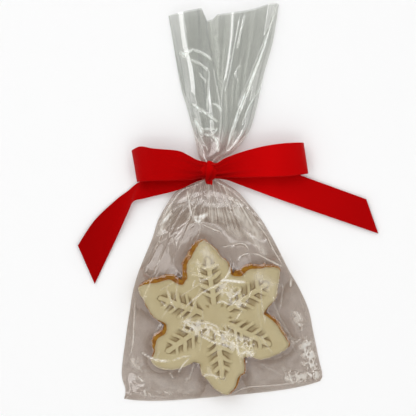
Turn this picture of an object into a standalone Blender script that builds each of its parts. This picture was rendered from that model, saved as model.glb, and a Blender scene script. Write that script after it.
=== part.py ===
"""A snowflake dog biscuit in a clear bag whose gathered neck is tied with a ribbon bow.

The bag lies on its back. The origin is on the table under the middle of the biscuit, +Y runs
up the bag to its open tuft, +X is to the right and +Z is up. Everything is in metres.
"""

import math

import bmesh
import bpy
import numpy as np

MM = 0.001

# Biscuit under the film: six arms, each (direction in degrees, tip radius, width scale).
BISCUIT_ARMS = (
    (97.6, 50.1 * MM, 0.97),
    (36.6, 50.6 * MM, 1.04),
    (-22.8, 50.2 * MM, 1.00),
    (-81.6, 49.4 * MM, 0.95),
    (-141.9, 50.1 * MM, 1.00),
    (158.0, 52.0 * MM, 0.98),
)
# Half width of an arm against the share of its length, from the middle to the tip.
ARM_PROFILE = (
    (0.00, 15.4 * MM),
    (0.52, 15.2 * MM),
    (0.61, 13.7 * MM),
    (0.73, 12.4 * MM),
    (0.89, 7.4 * MM),
    (0.97, 3.2 * MM),
    (1.00, 0.0),
)
BISCUIT_TOP = 10.8 * MM  # iced biscuit with the film on it
EDGE_ROUNDING = 1.6 * MM  # the film bends over the biscuit's edge this softly

# Bag, as pairs of points on its left and right edges, from the hem to the mouth of the tuft.
BAG_STATIONS = (
    ((-57.8, -53.4), (67.7, -42.1)),
    ((-57.0, -47.5), (69.0, -38.0)),
    ((-59.3, -36.7), (66.8, -28.0)),
    ((-56.8, -15.2), (63.2, -10.7)),
    ((-54.4, 1.5), (60.2, 3.5)),
    ((-52.2, 15.0), (54.2, 17.2)),
    ((-48.8, 27.0), (47.3, 29.4)),
    ((-43.9, 39.2), (41.2, 41.6)),
    ((-39.5, 49.8), (36.2, 50.9)),
    ((-36.0, 60.8), (30.0, 61.2)),
    ((-30.0, 71.6), (21.2, 72.0)),
    ((-23.6, 79.6), (15.2, 78.6)),
    ((-12.8, 84.8), (6.4, 84.8)),
    ((-8.2, 88.0), (1.8, 88.0)),
    ((-7.9, 93.0), (1.5, 93.0)),
    ((-8.2, 97.6), (1.8, 97.6)),
    ((-9.9, 100.6), (5.2, 100.4)),
    ((-11.0, 105.0), (12.4, 104.6)),
    ((-13.4, 117.0), (21.8, 116.8)),
    ((-18.0, 134.0), (26.8, 132.5)),
    ((-21.0, 144.0), (29.2, 143.4)),
    ((-23.6, 157.0), (32.2, 156.5)),
    ((-26.4, 174.0), (37.2, 174.5)),
    ((-29.4, 191.5), (41.3, 198.9)),
)
NECK_STATIONS = (13, 15)  # the stretch inside the ribbon's turn
HEM_BOW = 4.0 * MM  # how far the hem bows out below its straight line
HEM_STATIONS = 3.0  # the bow fades over this many stations
# The mouth's edge against its straight line: (share of the way across, offset).
MOUTH_EDGE = (
    (0.00, 0.0),
    (0.30, 1.8 * MM),
    (0.35, -6.4 * MM),
    (0.40, -6.0 * MM),
    (0.44, -3.2 * MM),
    (0.67, -2.9 * MM),
    (0.79, -2.0 * MM),
    (0.92, 0.5 * MM),
    (1.00, 0.0),
)
MOUTH_STATIONS = 1.2  # the mouth's offsets fade over this many stations
MOUTH_Y = 195.0 * MM
FILM_RIM = 0.8 * MM  # thickness where the two faces of the bag meet
FILM_REACH = 11.0 * MM  # how far the film stands off the table beyond the biscuit
FILM_GRID = 2.0 * MM  # pitch of the grid on which the film is stretched
FILM_X = (-66.0 * MM, 76.0 * MM)
FILM_Y = (-62.0 * MM, 96.0 * MM)
EDGE_SAMPLES = 140  # points read along each edge of the pouch for the grid's outline
FILM_SWEEPS = 500
PILLOW = 1.5 * MM  # air that lifts the film over the middle of the pouch

# Gathered neck, an ellipse in section.
NECK_START = 88.0 * MM
NECK_END = 97.6 * MM
NECK_CENTRE_Z = 4.9 * MM
NECK_HALF_WIDTH = 4.8 * MM
NECK_HALF_HEIGHT = 3.5 * MM
GATHER_START = 58.0 * MM  # above this height the pouch begins to close
GATHER_END = 86.5 * MM
UNDERSIDE_LIFT = 0.6  # share of the gather over which the underside stays on the table

# Tuft: two lobes with a valley between them, pleated lengthwise.
TUFT_BODY = 7.5 * MM  # height of a lobe over the valley floor
VALLEY_T = 0.36
VALLEY_WIDTH = 0.10
VALLEY_FLOOR = 0.30
LOBE_TAPER = 0.2  # share of its height that a lobe loses by the mouth
OPENING_SHARE = 0.22  # share of the tuft's length over which the neck opens into it
# Pleats as (share of the way across, half width, height).
PLEATS = (
    (0.06, 0.05, 1.6 * MM),
    (0.16, 0.06, 2.2 * MM),
    (0.27, 0.05, 1.8 * MM),
    (0.46, 0.05, 2.0 * MM),
    (0.57, 0.06, 1.6 * MM),
    (0.69, 0.06, 2.4 * MM),
    (0.81, 0.05, 1.8 * MM),
    (0.93, 0.05, 1.6 * MM),
)
BACK_PLEAT = 0.9 * MM  # the underside's own waves
BACK_WAVES = 6

POUCH_ROWS = 40
NECK_ROWS = 5
TUFT_ROWS = 16
BAG_COLUMNS = 36
NECK_SPREAD = 1.6  # stations over which the columns close up towards the neck's sides

# Ribbon: a strip this thick, in four lengths that meet in the knot. Each row of a length is
# (upper edge x, y, z, lower edge x, y, z) in millimetres.
RIBBON_THICKNESS = 0.8 * MM
RIBBON_COLUMNS = 3
STEPS_PER_KEY = 3
LEFT_LOOP = (
    (-3.5, 97.0, 12.2, -3.5, 87.6, 11.4),
    (-10.6, 98.5, 13.4, -9.4, 87.5, 12.2),
    (-16.3, 101.4, 14.6, -14.8, 86.3, 12.6),
    (-23.1, 104.3, 15.2, -23.0, 86.0, 12.8),
    (-37.9, 105.7, 14.2, -36.0, 85.8, 12.2),
    (-46.2, 107.2, 11.6, -44.6, 85.5, 10.2),
    (-51.2, 105.6, 8.6, -48.2, 85.3, 7.8),
    (-52.6, 104.4, 6.0, -48.4, 85.4, 5.6),
    (-49.6, 103.6, 3.9, -45.0, 85.8, 3.8),
    (-36.0, 101.5, 3.6, -33.0, 86.4, 4.4),
    (-19.0, 98.0, 5.2, -18.0, 87.6, 6.4),
    (-9.5, 95.6, 10.0, -9.0, 88.6, 10.0),
    (-4.0, 95.0, 11.0, -4.0, 89.0, 11.0),
)
RIGHT_LOOP = (
    (-2.5, 97.0, 12.2, -2.5, 87.8, 11.4),
    (1.6, 97.6, 13.0, 3.5, 88.0, 12.0),
    (6.8, 99.8, 13.8, 9.5, 87.9, 12.2),
    (17.9, 103.8, 14.8, 20.0, 88.0, 12.2),
    (31.0, 107.1, 15.2, 33.5, 88.3, 11.8),
    (43.5, 109.0, 14.0, 46.5, 88.9, 10.8),
    (52.2, 109.6, 11.2, 55.8, 90.0, 9.2),
    (56.0, 109.6, 7.8, 59.6, 90.8, 6.8),
    (53.2, 109.0, 5.0, 56.6, 90.2, 4.6),
    (38.0, 105.5, 4.4, 39.5, 88.9, 5.0),
    (17.0, 99.0, 5.6, 18.0, 89.0, 6.6),
    (5.0, 95.6, 10.0, 5.0, 89.0, 10.0),
    (-2.0, 95.0, 11.0, -2.0, 89.0, 11.0),
)
LEFT_TAIL = (
    (-4.5, 92.6, 11.0, -5.0, 87.2, 11.0),
    (-11.4, 91.4, 8.0, -12.6, 84.9, 8.0),
    (-23.0, 89.6, 4.8, -23.2, 80.2, 5.8),
    (-36.0, 87.6, 2.4, -38.5, 76.4, 2.6),
    (-47.2, 85.4, 1.4, -51.5, 72.9, 4.0),
    (-55.0, 79.6, 1.1, -57.9, 59.5, 3.0),
    (-62.5, 73.9, 1.0, -62.9, 49.0, 1.8),
    (-76.4, 60.6, 1.3, -70.0, 34.2, 1.1),
    (-87.1, 44.5, 2.0, -76.6, 20.3, 1.0),
)
RIGHT_TAIL = (
    (-2.0, 92.6, 11.0, -1.0, 87.4, 11.0),
    (6.0, 92.4, 8.4, 7.4, 86.6, 8.2),
    (19.0, 93.2, 4.0, 17.2, 83.2, 4.6),
    (42.0, 93.8, 2.2, 35.8, 76.3, 2.2),
    (60.0, 87.4, 1.4, 53.5, 70.1, 2.4),
    (77.0, 81.3, 1.1, 70.0, 64.4, 2.0),
    (97.0, 74.0, 2.0, 104.6, 52.5, 1.1),
)
TIP = (
    (-1.9, 89.0, 12.0, -6.2, 89.0, 12.0),
    (-1.4, 86.0, 11.2, -5.9, 86.2, 11.4),
    (-1.6, 83.2, 10.2, -5.0, 83.8, 10.6),
)
KNOT_CENTRE = (-2.4 * MM, 91.9 * MM, 12.0 * MM)
KNOT_SIZE = (11.5 * MM, 13.6 * MM, 5.6 * MM)
KNOT_SQUARENESS = 0.72  # 1 is an ellipsoid, less is boxier
BAND_GAP = 0.35 * MM
BAND_THICKNESS = 1.0 * MM
BAND_SEGMENTS = 32

FILM_COLOUR = (0.78, 0.79, 0.76, 0.35)
RIBBON_COLOUR = (0.52, 0.01, 0.01, 1.0)


def smooth_step(value):
    """0 below 0, 1 above 1 and an even curve between them."""
    value = np.clip(value, 0.0, 1.0)
    return value * value * (3.0 - 2.0 * value)


def smooth_path(keys, position):
    """Point on a Catmull-Rom curve through the keys, position counted in keys."""
    last = len(keys) - 1
    index = min(int(position), last - 1)
    f = position - index
    p0, p1, p2, p3 = (keys[min(max(index + k, 0), last)] for k in (-1, 0, 1, 2))
    return (
        0.5
        * (
            2 * p1
            + (p2 - p0) * f
            + (2 * p0 - 5 * p1 + 4 * p2 - p3) * f**2
            + (3 * p1 - p0 - 3 * p2 + p3) * f**3
        )
    )


def clear_scene():
    for scene_object in list(bpy.data.objects):
        bpy.data.objects.remove(scene_object, do_unlink=True)


def make_material(name, colour, roughness):
    material = bpy.data.materials.new(name)
    material.use_nodes = True
    shader = material.node_tree.nodes["Principled BSDF"]
    shader.inputs["Base Color"].default_value = colour[:3] + (1.0,)
    shader.inputs["Roughness"].default_value = roughness
    shader.inputs["Metallic"].default_value = 0.0
    shader.inputs["Alpha"].default_value = colour[3]
    return material


def add_object(name, mesh, collection, material):
    new_object = bpy.data.objects.new(name, mesh)
    collection.objects.link(new_object)
    mesh.materials.append(material)
    return new_object


def biscuit_depth(x, y):
    """About how far a point is inside the biscuit's outline, negative outside it."""
    shares = [share for share, _ in ARM_PROFILE]
    widths = [width for _, width in ARM_PROFILE]
    depth = np.full_like(x, -1.0)
    for angle, radius, width_scale in BISCUIT_ARMS:
        along_x, along_y = math.cos(math.radians(angle)), math.sin(math.radians(angle))
        along = x * along_x + y * along_y
        across = np.abs(y * along_x - x * along_y)
        width = np.interp(along / radius, shares, widths) * width_scale
        inside = np.minimum(width - across, (radius - along) * 1.5)
        depth = np.where(along > 0.0, np.maximum(depth, inside), depth)
    return depth


def bag_edges(position):
    """Left and right edge points of the bag, position counted in stations."""
    keys = [np.array(left + right) * MM for left, right in BAG_STATIONS]
    point = smooth_path(keys, position)
    return point[:2], point[2:]


def bag_plan(position, t):
    """Point of the bag in plan: position counted in stations, t from left to right."""
    left, right = bag_edges(position)
    point = left + (right - left) * t
    last = len(BAG_STATIONS) - 1
    hem = max(0.0, 1.0 - position / HEM_STATIONS) ** 2
    point[1] -= HEM_BOW * hem * (1.0 - (2.0 * t - 1.0) ** 4)
    mouth = max(0.0, 1.0 - (last - position) / MOUTH_STATIONS) ** 2
    shares = [share for share, _ in MOUTH_EDGE]
    offsets = [offset for _, offset in MOUTH_EDGE]
    point[1] += mouth * float(np.interp(t, shares, offsets))
    return point


def stretch_film():
    """Heights of the upper film on a regular grid, laid over the biscuit and held at the rim."""
    x_axis = np.arange(*FILM_X, FILM_GRID)
    y_axis = np.arange(*FILM_Y, FILM_GRID)
    x, y = np.meshgrid(x_axis, y_axis)
    edges = [bag_edges(p) for p in np.linspace(0.0, NECK_STATIONS[1], EDGE_SAMPLES)]
    left_y = [left[1] for left, _ in edges]
    right_y = [right[1] for _, right in edges]
    left_x = np.interp(y, left_y, [left[0] for left, _ in edges])
    right_x = np.interp(y, right_y, [right[0] for _, right in edges])
    hem_left, hem_right = bag_edges(0.0)
    hem_t = np.clip((x - hem_left[0]) / (hem_right[0] - hem_left[0]), 0.0, 1.0)
    hem_y = hem_left[1] + (hem_right[1] - hem_left[1]) * hem_t
    hem_y -= HEM_BOW * (1.0 - (2.0 * hem_t - 1.0) ** 4)
    in_bag = (x > left_x) & (x < right_x) & (y > hem_y)
    obstacle = BISCUIT_TOP * smooth_step(biscuit_depth(x, y) / EDGE_ROUNDING + 1.0)
    obstacle = np.where(in_bag, obstacle, 0.0)
    pull_down = (FILM_GRID / FILM_REACH) ** 2 / 4.0
    z = obstacle.copy()
    for _ in range(FILM_SWEEPS):
        mean = np.zeros_like(z)
        mean[1:-1, 1:-1] = (z[2:, 1:-1] + z[:-2, 1:-1] + z[1:-1, 2:] + z[1:-1, :-2]) / 4.0
        lifted = (mean + pull_down * PILLOW) / (1.0 + pull_down)
        z = np.where(in_bag, np.maximum(lifted, obstacle), 0.0)
    return x_axis, y_axis, z


def film_height(film, point):
    """Height of the stretched film over a point, read between the grid's points."""
    x_axis, y_axis, z = film
    column = (point[0] - x_axis[0]) / FILM_GRID
    row = (point[1] - y_axis[0]) / FILM_GRID
    i = int(np.clip(column, 0, len(x_axis) - 2))
    j = int(np.clip(row, 0, len(y_axis) - 2))
    fx = float(np.clip(column - i, 0.0, 1.0))
    fy = float(np.clip(row - j, 0.0, 1.0))
    low = z[j, i] * (1 - fx) + z[j, i + 1] * fx
    high = z[j + 1, i] * (1 - fx) + z[j + 1, i + 1] * fx
    return low * (1 - fy) + high * fy


def neck_faces(t):
    """Lower and upper height of the gathered neck at t from left to right."""
    swell = NECK_HALF_HEIGHT * math.sqrt(max(0.0, 1.0 - (2.0 * t - 1.0) ** 2))
    swell = max(swell, FILM_RIM / 2.0)
    return NECK_CENTRE_Z - swell, NECK_CENTRE_Z + swell


def pleat_height(t):
    """Height of the front pleats at t from left to right."""
    return sum(height * max(0.0, 1.0 - abs(t - centre) / half) for centre, half, height in PLEATS)


def tuft_faces(t, rise):
    """Lower and upper height of the fanned tuft, rise going from the neck to the mouth."""
    lower = BACK_PLEAT * (1.0 - math.cos(2.0 * math.pi * BACK_WAVES * t)) / 2.0
    edge = math.sin(math.pi * min(max(t, 0.0), 1.0)) ** 0.5
    valley = 1.0 - (1.0 - VALLEY_FLOOR) * math.exp(-(((t - VALLEY_T) / VALLEY_WIDTH) ** 2))
    body = TUFT_BODY * edge * valley * (1.0 - LOBE_TAPER * rise)
    upper = lower + FILM_RIM + body + pleat_height(t) * min(edge * 2.0, 1.0)
    return lower, upper


def bag_faces(film, point, t):
    """Lower and upper height of the bag over a point of its plan."""
    y = point[1]
    neck_low, neck_high = neck_faces(t)
    if y < NECK_START:
        gather = float(smooth_step((y - GATHER_START) / (GATHER_END - GATHER_START)))
        pouch_high = FILM_RIM + film_height(film, point)
        low = neck_low * float(smooth_step(gather * (1.0 + UNDERSIDE_LIFT) - UNDERSIDE_LIFT))
        high = pouch_high + (neck_high - pouch_high) * gather
        return low, max(high, low + FILM_RIM)
    if y < NECK_END:
        return neck_low, neck_high
    rise = (y - NECK_END) / (MOUTH_Y - NECK_END)
    tuft_low, tuft_high = tuft_faces(t, rise)
    opening = float(smooth_step(rise / OPENING_SHARE))
    low = neck_low + (tuft_low - neck_low) * opening
    return low, neck_high + (tuft_high - neck_high) * opening


def row_positions():
    """Stations at which the bag has a row of points, counted in stations."""
    neck_first, neck_last = NECK_STATIONS
    last = len(BAG_STATIONS) - 1
    pouch = np.linspace(0.0, neck_first, POUCH_ROWS, endpoint=False)
    neck = np.linspace(neck_first, neck_last, NECK_ROWS, endpoint=False)
    tuft = np.linspace(neck_last, last, TUFT_ROWS + 1)
    return [*pouch, *neck, *tuft]


def column_share(position, index):
    """Even columns in the pouch, closer to the sides in the round neck."""
    even = index / BAG_COLUMNS
    rounded = (1.0 - math.cos(math.pi * even)) / 2.0
    near_neck = math.exp(-(((position - sum(NECK_STATIONS) / 2.0) / NECK_SPREAD) ** 2))
    return even + (rounded - even) * near_neck


def build_bag(collection, material):
    """Pouch, neck and tuft as one loft between an upper and a lower face."""
    film = stretch_film()
    bm = bmesh.new()
    upper, lower = [], []
    for position in row_positions():
        upper_row, lower_row = [], []
        for index in range(BAG_COLUMNS + 1):
            t = column_share(position, index)
            point = bag_plan(position, t)
            low, high = bag_faces(film, point, t)
            upper_row.append(bm.verts.new((point[0], point[1], high)))
            lower_row.append(bm.verts.new((point[0], point[1], low)))
        upper.append(upper_row)
        lower.append(lower_row)
    for j in range(len(upper) - 1):
        for i in range(BAG_COLUMNS):
            bm.faces.new((upper[j][i], upper[j][i + 1], upper[j + 1][i + 1], upper[j + 1][i]))
            bm.faces.new((lower[j][i], lower[j + 1][i], lower[j + 1][i + 1], lower[j][i + 1]))
        for i, turn in ((0, 1), (BAG_COLUMNS, -1)):
            side = (upper[j][i], upper[j + 1][i], lower[j + 1][i], lower[j][i])
            bm.faces.new(side[::turn])
    for j, turn in ((0, 1), (len(upper) - 1, -1)):
        for i in range(BAG_COLUMNS):
            end = (lower[j][i], lower[j][i + 1], upper[j][i + 1], upper[j][i])
            bm.faces.new(end[::turn])
    flat_edges = [e for e in bm.edges if all(v.co.z < 1e-7 for v in e.verts)]
    flat_verts = [v for v in bm.verts if v.co.z < 1e-7]
    bmesh.ops.dissolve_limit(bm, angle_limit=0.001, verts=flat_verts, edges=flat_edges)
    bmesh.ops.triangulate(bm, faces=bm.faces[:])
    bmesh.ops.recalc_face_normals(bm, faces=bm.faces[:])
    mesh = bpy.data.meshes.new("bag")
    bm.to_mesh(mesh)
    bm.free()
    mesh.shade_smooth()
    return add_object("bag", mesh, collection, material)


def build_strip(name, keys, collection, material):
    """A length of ribbon: an open surface between two smooth edges, given its thickness."""
    edge_keys = [np.array(key) * MM for key in keys]
    bm = bmesh.new()
    rows = []
    for step in range((len(keys) - 1) * STEPS_PER_KEY + 1):
        edges = smooth_path(edge_keys, step / STEPS_PER_KEY)
        row = []
        for column in range(RIBBON_COLUMNS + 1):
            share = column / RIBBON_COLUMNS
            row.append(bm.verts.new(edges[:3] * (1.0 - share) + edges[3:] * share))
        rows.append(row)
    for j in range(len(rows) - 1):
        for i in range(RIBBON_COLUMNS):
            bm.faces.new((rows[j][i], rows[j][i + 1], rows[j + 1][i + 1], rows[j + 1][i]))
    mesh = bpy.data.meshes.new(name)
    bm.to_mesh(mesh)
    bm.free()
    strip = add_object(name, mesh, collection, material)
    wall = strip.modifiers.new("thickness", "SOLIDIFY")
    wall.thickness = RIBBON_THICKNESS
    wall.offset = 0.0
    return strip


def build_knot(collection, material):
    """The knot: a boxy rounded lump on the front of the neck."""
    bm = bmesh.new()
    bmesh.ops.create_uvsphere(bm, u_segments=20, v_segments=12, radius=0.5)
    for vert in bm.verts:
        for axis in range(3):
            side = math.copysign(1.0, vert.co[axis])
            boxed = side * abs(vert.co[axis] * 2.0) ** KNOT_SQUARENESS / 2.0
            vert.co[axis] = KNOT_CENTRE[axis] + boxed * KNOT_SIZE[axis]
    mesh = bpy.data.meshes.new("knot")
    bm.to_mesh(mesh)
    bm.free()
    return add_object("knot", mesh, collection, material)


def build_band(collection, material):
    """The turn of ribbon round the neck, a closed oval band with a gap to the film."""
    middle = BAG_STATIONS[sum(NECK_STATIONS) // 2]
    centre_x = (middle[0][0] + middle[1][0]) / 2.0 * MM
    inner = (NECK_HALF_WIDTH + BAND_GAP, NECK_HALF_HEIGHT + BAND_GAP)
    outer = (inner[0] + BAND_THICKNESS, inner[1] + BAND_THICKNESS)
    ends = (NECK_START + 0.4 * MM, NECK_END - 0.4 * MM)
    bm = bmesh.new()
    loops = []
    for index in range(BAND_SEGMENTS):
        angle = 2.0 * math.pi * index / BAND_SEGMENTS
        corners = []
        for (half_x, half_z), y in (
            (inner, ends[0]),
            (outer, ends[0]),
            (outer, ends[1]),
            (inner, ends[1]),
        ):
            x = centre_x + half_x * math.cos(angle)
            z = NECK_CENTRE_Z + half_z * math.sin(angle)
            corners.append(bm.verts.new((x, y, z)))
        loops.append(corners)
    for index, loop in enumerate(loops):
        following = loops[(index + 1) % BAND_SEGMENTS]
        for k in range(4):
            n = (k + 1) % 4
            bm.faces.new((loop[k], loop[n], following[n], following[k]))
    bmesh.ops.recalc_face_normals(bm, faces=bm.faces[:])
    mesh = bpy.data.meshes.new("band")
    bm.to_mesh(mesh)
    bm.free()
    return add_object("band", mesh, collection, material)


def build_ribbon(collection, material):
    """The whole ribbon as one solid: knot, turn round the neck, two loops, two tails."""
    pieces = bpy.data.collections.new("ribbon_pieces")
    bpy.context.scene.collection.children.link(pieces)
    ribbon = build_knot(collection, material)
    ribbon.name = "ribbon_bow"
    ribbon.data.name = "ribbon_bow"
    build_band(pieces, material)
    build_strip("left_loop", LEFT_LOOP, pieces, material)
    build_strip("right_loop", RIGHT_LOOP, pieces, material)
    build_strip("left_tail", LEFT_TAIL, pieces, material)
    build_strip("right_tail", RIGHT_TAIL, pieces, material)
    build_strip("tip", TIP, pieces, material)
    union = ribbon.modifiers.new("union", "BOOLEAN")
    union.operation = "UNION"
    union.operand_type = "COLLECTION"
    union.collection = pieces
    union.solver = "EXACT"
    bpy.context.view_layer.update()
    joined = bpy.data.meshes.new_from_object(
        ribbon.evaluated_get(bpy.context.evaluated_depsgraph_get())
    )
    ribbon.modifiers.remove(union)
    ribbon.data = joined
    for piece in list(pieces.objects):
        bpy.data.objects.remove(piece, do_unlink=True)
    bpy.data.collections.remove(pieces)
    joined.shade_smooth()
    joined.set_sharp_from_angle(angle=math.radians(40.0))
    return ribbon


def main():
    clear_scene()
    parts = bpy.data.collections.new("bagged_dog_biscuit")
    bpy.context.scene.collection.children.link(parts)
    build_bag(parts, make_material("clear_film", FILM_COLOUR, 0.1))
    build_ribbon(parts, make_material("satin_ribbon", RIBBON_COLOUR, 0.45))


main()
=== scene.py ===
import math

import bpy
import numpy as np
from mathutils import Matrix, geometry, kdtree


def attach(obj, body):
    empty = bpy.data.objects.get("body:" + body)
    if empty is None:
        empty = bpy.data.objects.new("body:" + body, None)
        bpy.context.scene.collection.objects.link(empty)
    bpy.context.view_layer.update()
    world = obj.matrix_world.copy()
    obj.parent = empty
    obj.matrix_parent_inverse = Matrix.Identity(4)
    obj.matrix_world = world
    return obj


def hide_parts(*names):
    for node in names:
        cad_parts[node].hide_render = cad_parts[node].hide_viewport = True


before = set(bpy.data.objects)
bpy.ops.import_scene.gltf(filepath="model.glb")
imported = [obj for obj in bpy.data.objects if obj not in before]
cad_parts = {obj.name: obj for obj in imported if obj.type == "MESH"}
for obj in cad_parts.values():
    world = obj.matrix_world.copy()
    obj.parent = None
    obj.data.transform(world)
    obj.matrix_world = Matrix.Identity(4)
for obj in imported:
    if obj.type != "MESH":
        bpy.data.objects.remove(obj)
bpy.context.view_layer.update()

mm = 0.001

view = {
    "eye": (-4.1, 68.6, 650.0),  # straight above the bag
    "sensor": 36.0,
    "lens": 87.89,
}

room = {
    "floorSize": 20000.0,
    "floorDrop": 0.3,  # the bag lies this far over the floor's plane
    "floorColour": (0.97, 0.97, 0.97, 1.0),
    "skyDark": 0.73,
    "skyBright": 1.40,
    "skyScale": 5.5,
    # share of the sky's light by height, from the horizon (0) to straight up (1)
    "skyShares": ((0.0, 0.12), (0.35, 0.75), (0.6, 1.0), (0.82, 0.95), (0.93, 0.2), (1.0, 0.06)),
    # direction round the bag and lean off straight up in degrees, distance, width, length, watts
    "lamps": (
        (0.0, 29.0, 900.0, 70.0, 872.0, 0.5),
        (90.0, 29.0, 900.0, 70.0, 872.0, 0.28),
        (180.0, 29.0, 900.0, 70.0, 872.0, 0.46),
        (270.0, 29.0, 900.0, 70.0, 872.0, 0.42),
        (118.0, 52.0, 2600.0, 2100.0, 2100.0, 14.0),
    ),
}


def smoothStep(value):
    value = np.clip(value, 0.0, 1.0)
    return value * value * (3.0 - 2.0 * value)


# a smooth curve through rows of keys, read at positions counted in keys
def smoothPath(keys, positions):
    keys = np.asarray(keys, float)
    positions = np.asarray(positions, float)
    last = len(keys) - 1
    index = np.clip(positions.astype(int), 0, last - 1)
    f = (positions - index)[:, None]
    p0, p1, p2, p3 = (keys[np.clip(index + k, 0, last)] for k in (-1, 0, 1, 2))
    return 0.5 * (
        2 * p1
        + (p2 - p0) * f
        + (2 * p0 - 5 * p1 + 4 * p2 - p3) * f**2
        + (3 * p1 - p0 - 3 * p2 + p3) * f**3
    )


# soft uneven swell between about -1 and 1, with hills about one size apart
def ripple(x, y, size, seed, waves=7):
    draw = np.random.default_rng(seed)
    total = np.zeros_like(x)
    for _ in range(waves):
        turn = draw.uniform(0.0, math.tau)
        pitch = size * draw.uniform(0.6, 1.7)
        phase = draw.uniform(0.0, math.tau)
        total += np.sin((x * math.cos(turn) + y * math.sin(turn)) / pitch * math.tau + phase)
    return total / math.sqrt(waves * 2.0)


# heights on a square grid over the bag, read anywhere between its points
class HeightMap:
    def __init__(self, pitch, low=(-72.0, -66.0), high=(82.0, 206.0)):
        self.pitch = pitch
        self.low = low
        self.xAxis = np.arange(low[0], high[0], pitch)
        self.yAxis = np.arange(low[1], high[1], pitch)
        self.x, self.y = np.meshgrid(self.xAxis, self.yAxis)
        self.z = np.zeros_like(self.x)

    def read(self, x, y):
        column = np.clip((x - self.low[0]) / self.pitch, 0.0, len(self.xAxis) - 1.001)
        row = np.clip((y - self.low[1]) / self.pitch, 0.0, len(self.yAxis) - 1.001)
        i = column.astype(int)
        j = row.astype(int)
        fx = column - i
        fy = row - j
        near = self.z[j, i] * (1 - fx) + self.z[j, i + 1] * fx
        far = self.z[j + 1, i] * (1 - fx) + self.z[j + 1, i + 1] * fx
        return near * (1 - fy) + far * fy


# crumpled film: flat triangles of about one cell, their corners at random heights
def facetMap(cell, seed, pitch):
    sheet = HeightMap(pitch)
    draw = np.random.default_rng(seed)
    columns = int((sheet.xAxis[-1] - sheet.xAxis[0]) / cell) + 3
    rows = int((sheet.yAxis[-1] - sheet.yAxis[0]) / cell) + 3
    corners = []
    for row in range(rows):
        for column in range(columns):
            shift = draw.uniform(-0.42, 0.42, 2)
            x = sheet.low[0] + (column - 1 + shift[0]) * cell
            y = sheet.low[1] + (row - 1 + shift[1]) * cell
            corners.append((x, y))
    heights = draw.uniform(-1.0, 1.0, len(corners))
    made = geometry.delaunay_2d_cdt(corners, [], [], 0, 1e-6)
    points = np.array([tuple(p) for p in made[0]])
    heights = heights[[source[0] for source in made[3]]]
    for a, b, c in made[2]:
        pa, pb, pc = points[a], points[b], points[c]
        lowX, lowY = np.minimum(np.minimum(pa, pb), pc)
        highX, highY = np.maximum(np.maximum(pa, pb), pc)
        i0, i1 = np.searchsorted(sheet.xAxis, (lowX, highX))
        j0, j1 = np.searchsorted(sheet.yAxis, (lowY, highY))
        if i0 == i1 or j0 == j1:
            continue
        x = sheet.x[j0:j1, i0:i1]
        y = sheet.y[j0:j1, i0:i1]
        area = (pb[0] - pa[0]) * (pc[1] - pa[1]) - (pc[0] - pa[0]) * (pb[1] - pa[1])
        wb = ((x - pa[0]) * (pc[1] - pa[1]) - (pc[0] - pa[0]) * (y - pa[1])) / area
        wc = ((pb[0] - pa[0]) * (y - pa[1]) - (x - pa[0]) * (pb[1] - pa[1])) / area
        inside = (wb >= -1e-6) & (wc >= -1e-6) & (wb + wc <= 1.0 + 1e-6)
        z = heights[a] * (1 - wb - wc) + heights[b] * wb + heights[c] * wc
        sheet.z[j0:j1, i0:i1] = np.where(inside, z, sheet.z[j0:j1, i0:i1])
    return sheet


# distance to a straight piece of line, and how far along it the nearest point is, 0 to 1
def lineDistance(x, y, start, end):
    dx = end[0] - start[0]
    dy = end[1] - start[1]
    along = ((x - start[0]) * dx + (y - start[1]) * dy) / (dx * dx + dy * dy)
    along = np.clip(along, 0.0, 1.0)
    return np.hypot(x - start[0] - dx * along, y - start[1] - dy * along), along


# height of all the folds at every point, and their tone: crease whitening and painted highlight above 0,
# layered film and painted shade below it
def foldMarks(x, y, folds):
    relief = np.zeros_like(x)
    pale = np.zeros_like(x)
    layersAndShade = np.zeros_like(x)
    for width, height, crease, tone, line in folds:
        count = max(2, (len(line) - 1) * 5)
        path = smoothPath(line, np.linspace(0.0, len(line) - 1, count + 1))
        reach = max(width, crease * 2.3) * 1.1
        near = (x > path[:, 0].min() - reach) & (x < path[:, 0].max() + reach)
        near &= (y > path[:, 1].min() - reach) & (y < path[:, 1].max() + reach)
        px = x[near]
        py = y[near]
        best = np.full_like(px, 1e9)
        place = np.zeros_like(px)
        for step in range(count):
            distance, along = lineDistance(px, py, path[step], path[step + 1])
            closer = distance < best
            best = np.where(closer, distance, best)
            place = np.where(closer, (step + along) / count, place)
        taper = np.clip(np.minimum(place, 1.0 - place) * 6.0, 0.0, 1.0) ** 0.7
        if height:
            relief[near] += height * taper * np.clip(1.0 - best / width, 0.0, 1.0) ** 1.25
        if tone:
            mark = abs(tone) * taper * np.exp(-((best / crease) ** 2))
            mark *= np.clip(0.85 + 0.25 * ripple(px, py, 4.0, 61), 0.0, 1.0)
            target = pale if tone > 0 else layersAndShade
            target[near] = np.maximum(target[near], mark)
    return relief, pale - layersAndShade * (1.0 - pale)


def meshObject(name, points, faces, material, uvs=None):
    mesh = bpy.data.meshes.new(name)
    mesh.from_pydata(points.tolist(), [], faces)
    mesh.materials.append(material)
    if uvs is not None:
        layer = mesh.uv_layers.new(name="UVMap")
        corner = np.zeros(len(mesh.loops), int)
        mesh.loops.foreach_get("vertex_index", corner)
        layer.data.foreach_set("uv", uvs[corner].astype(np.float32).ravel())
    mesh.validate()
    mesh.shade_smooth()
    made = bpy.data.objects.new(name, mesh)
    bpy.context.scene.collection.objects.link(made)
    return made


def setAttribute(mesh, name, values, domain="POINT"):
    mesh.attributes.new(name, "FLOAT", domain).data.foreach_set("value", values)


def sheetFaces(rows, columns, wrap=False):
    faces = []
    for j in range(rows - 1):
        for i in range(columns if wrap else columns - 1):
            n = (i + 1) % columns
            faces.append((j * columns + i, j * columns + n, (j + 1) * columns + n, (j + 1) * columns + i))
    return faces


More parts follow.
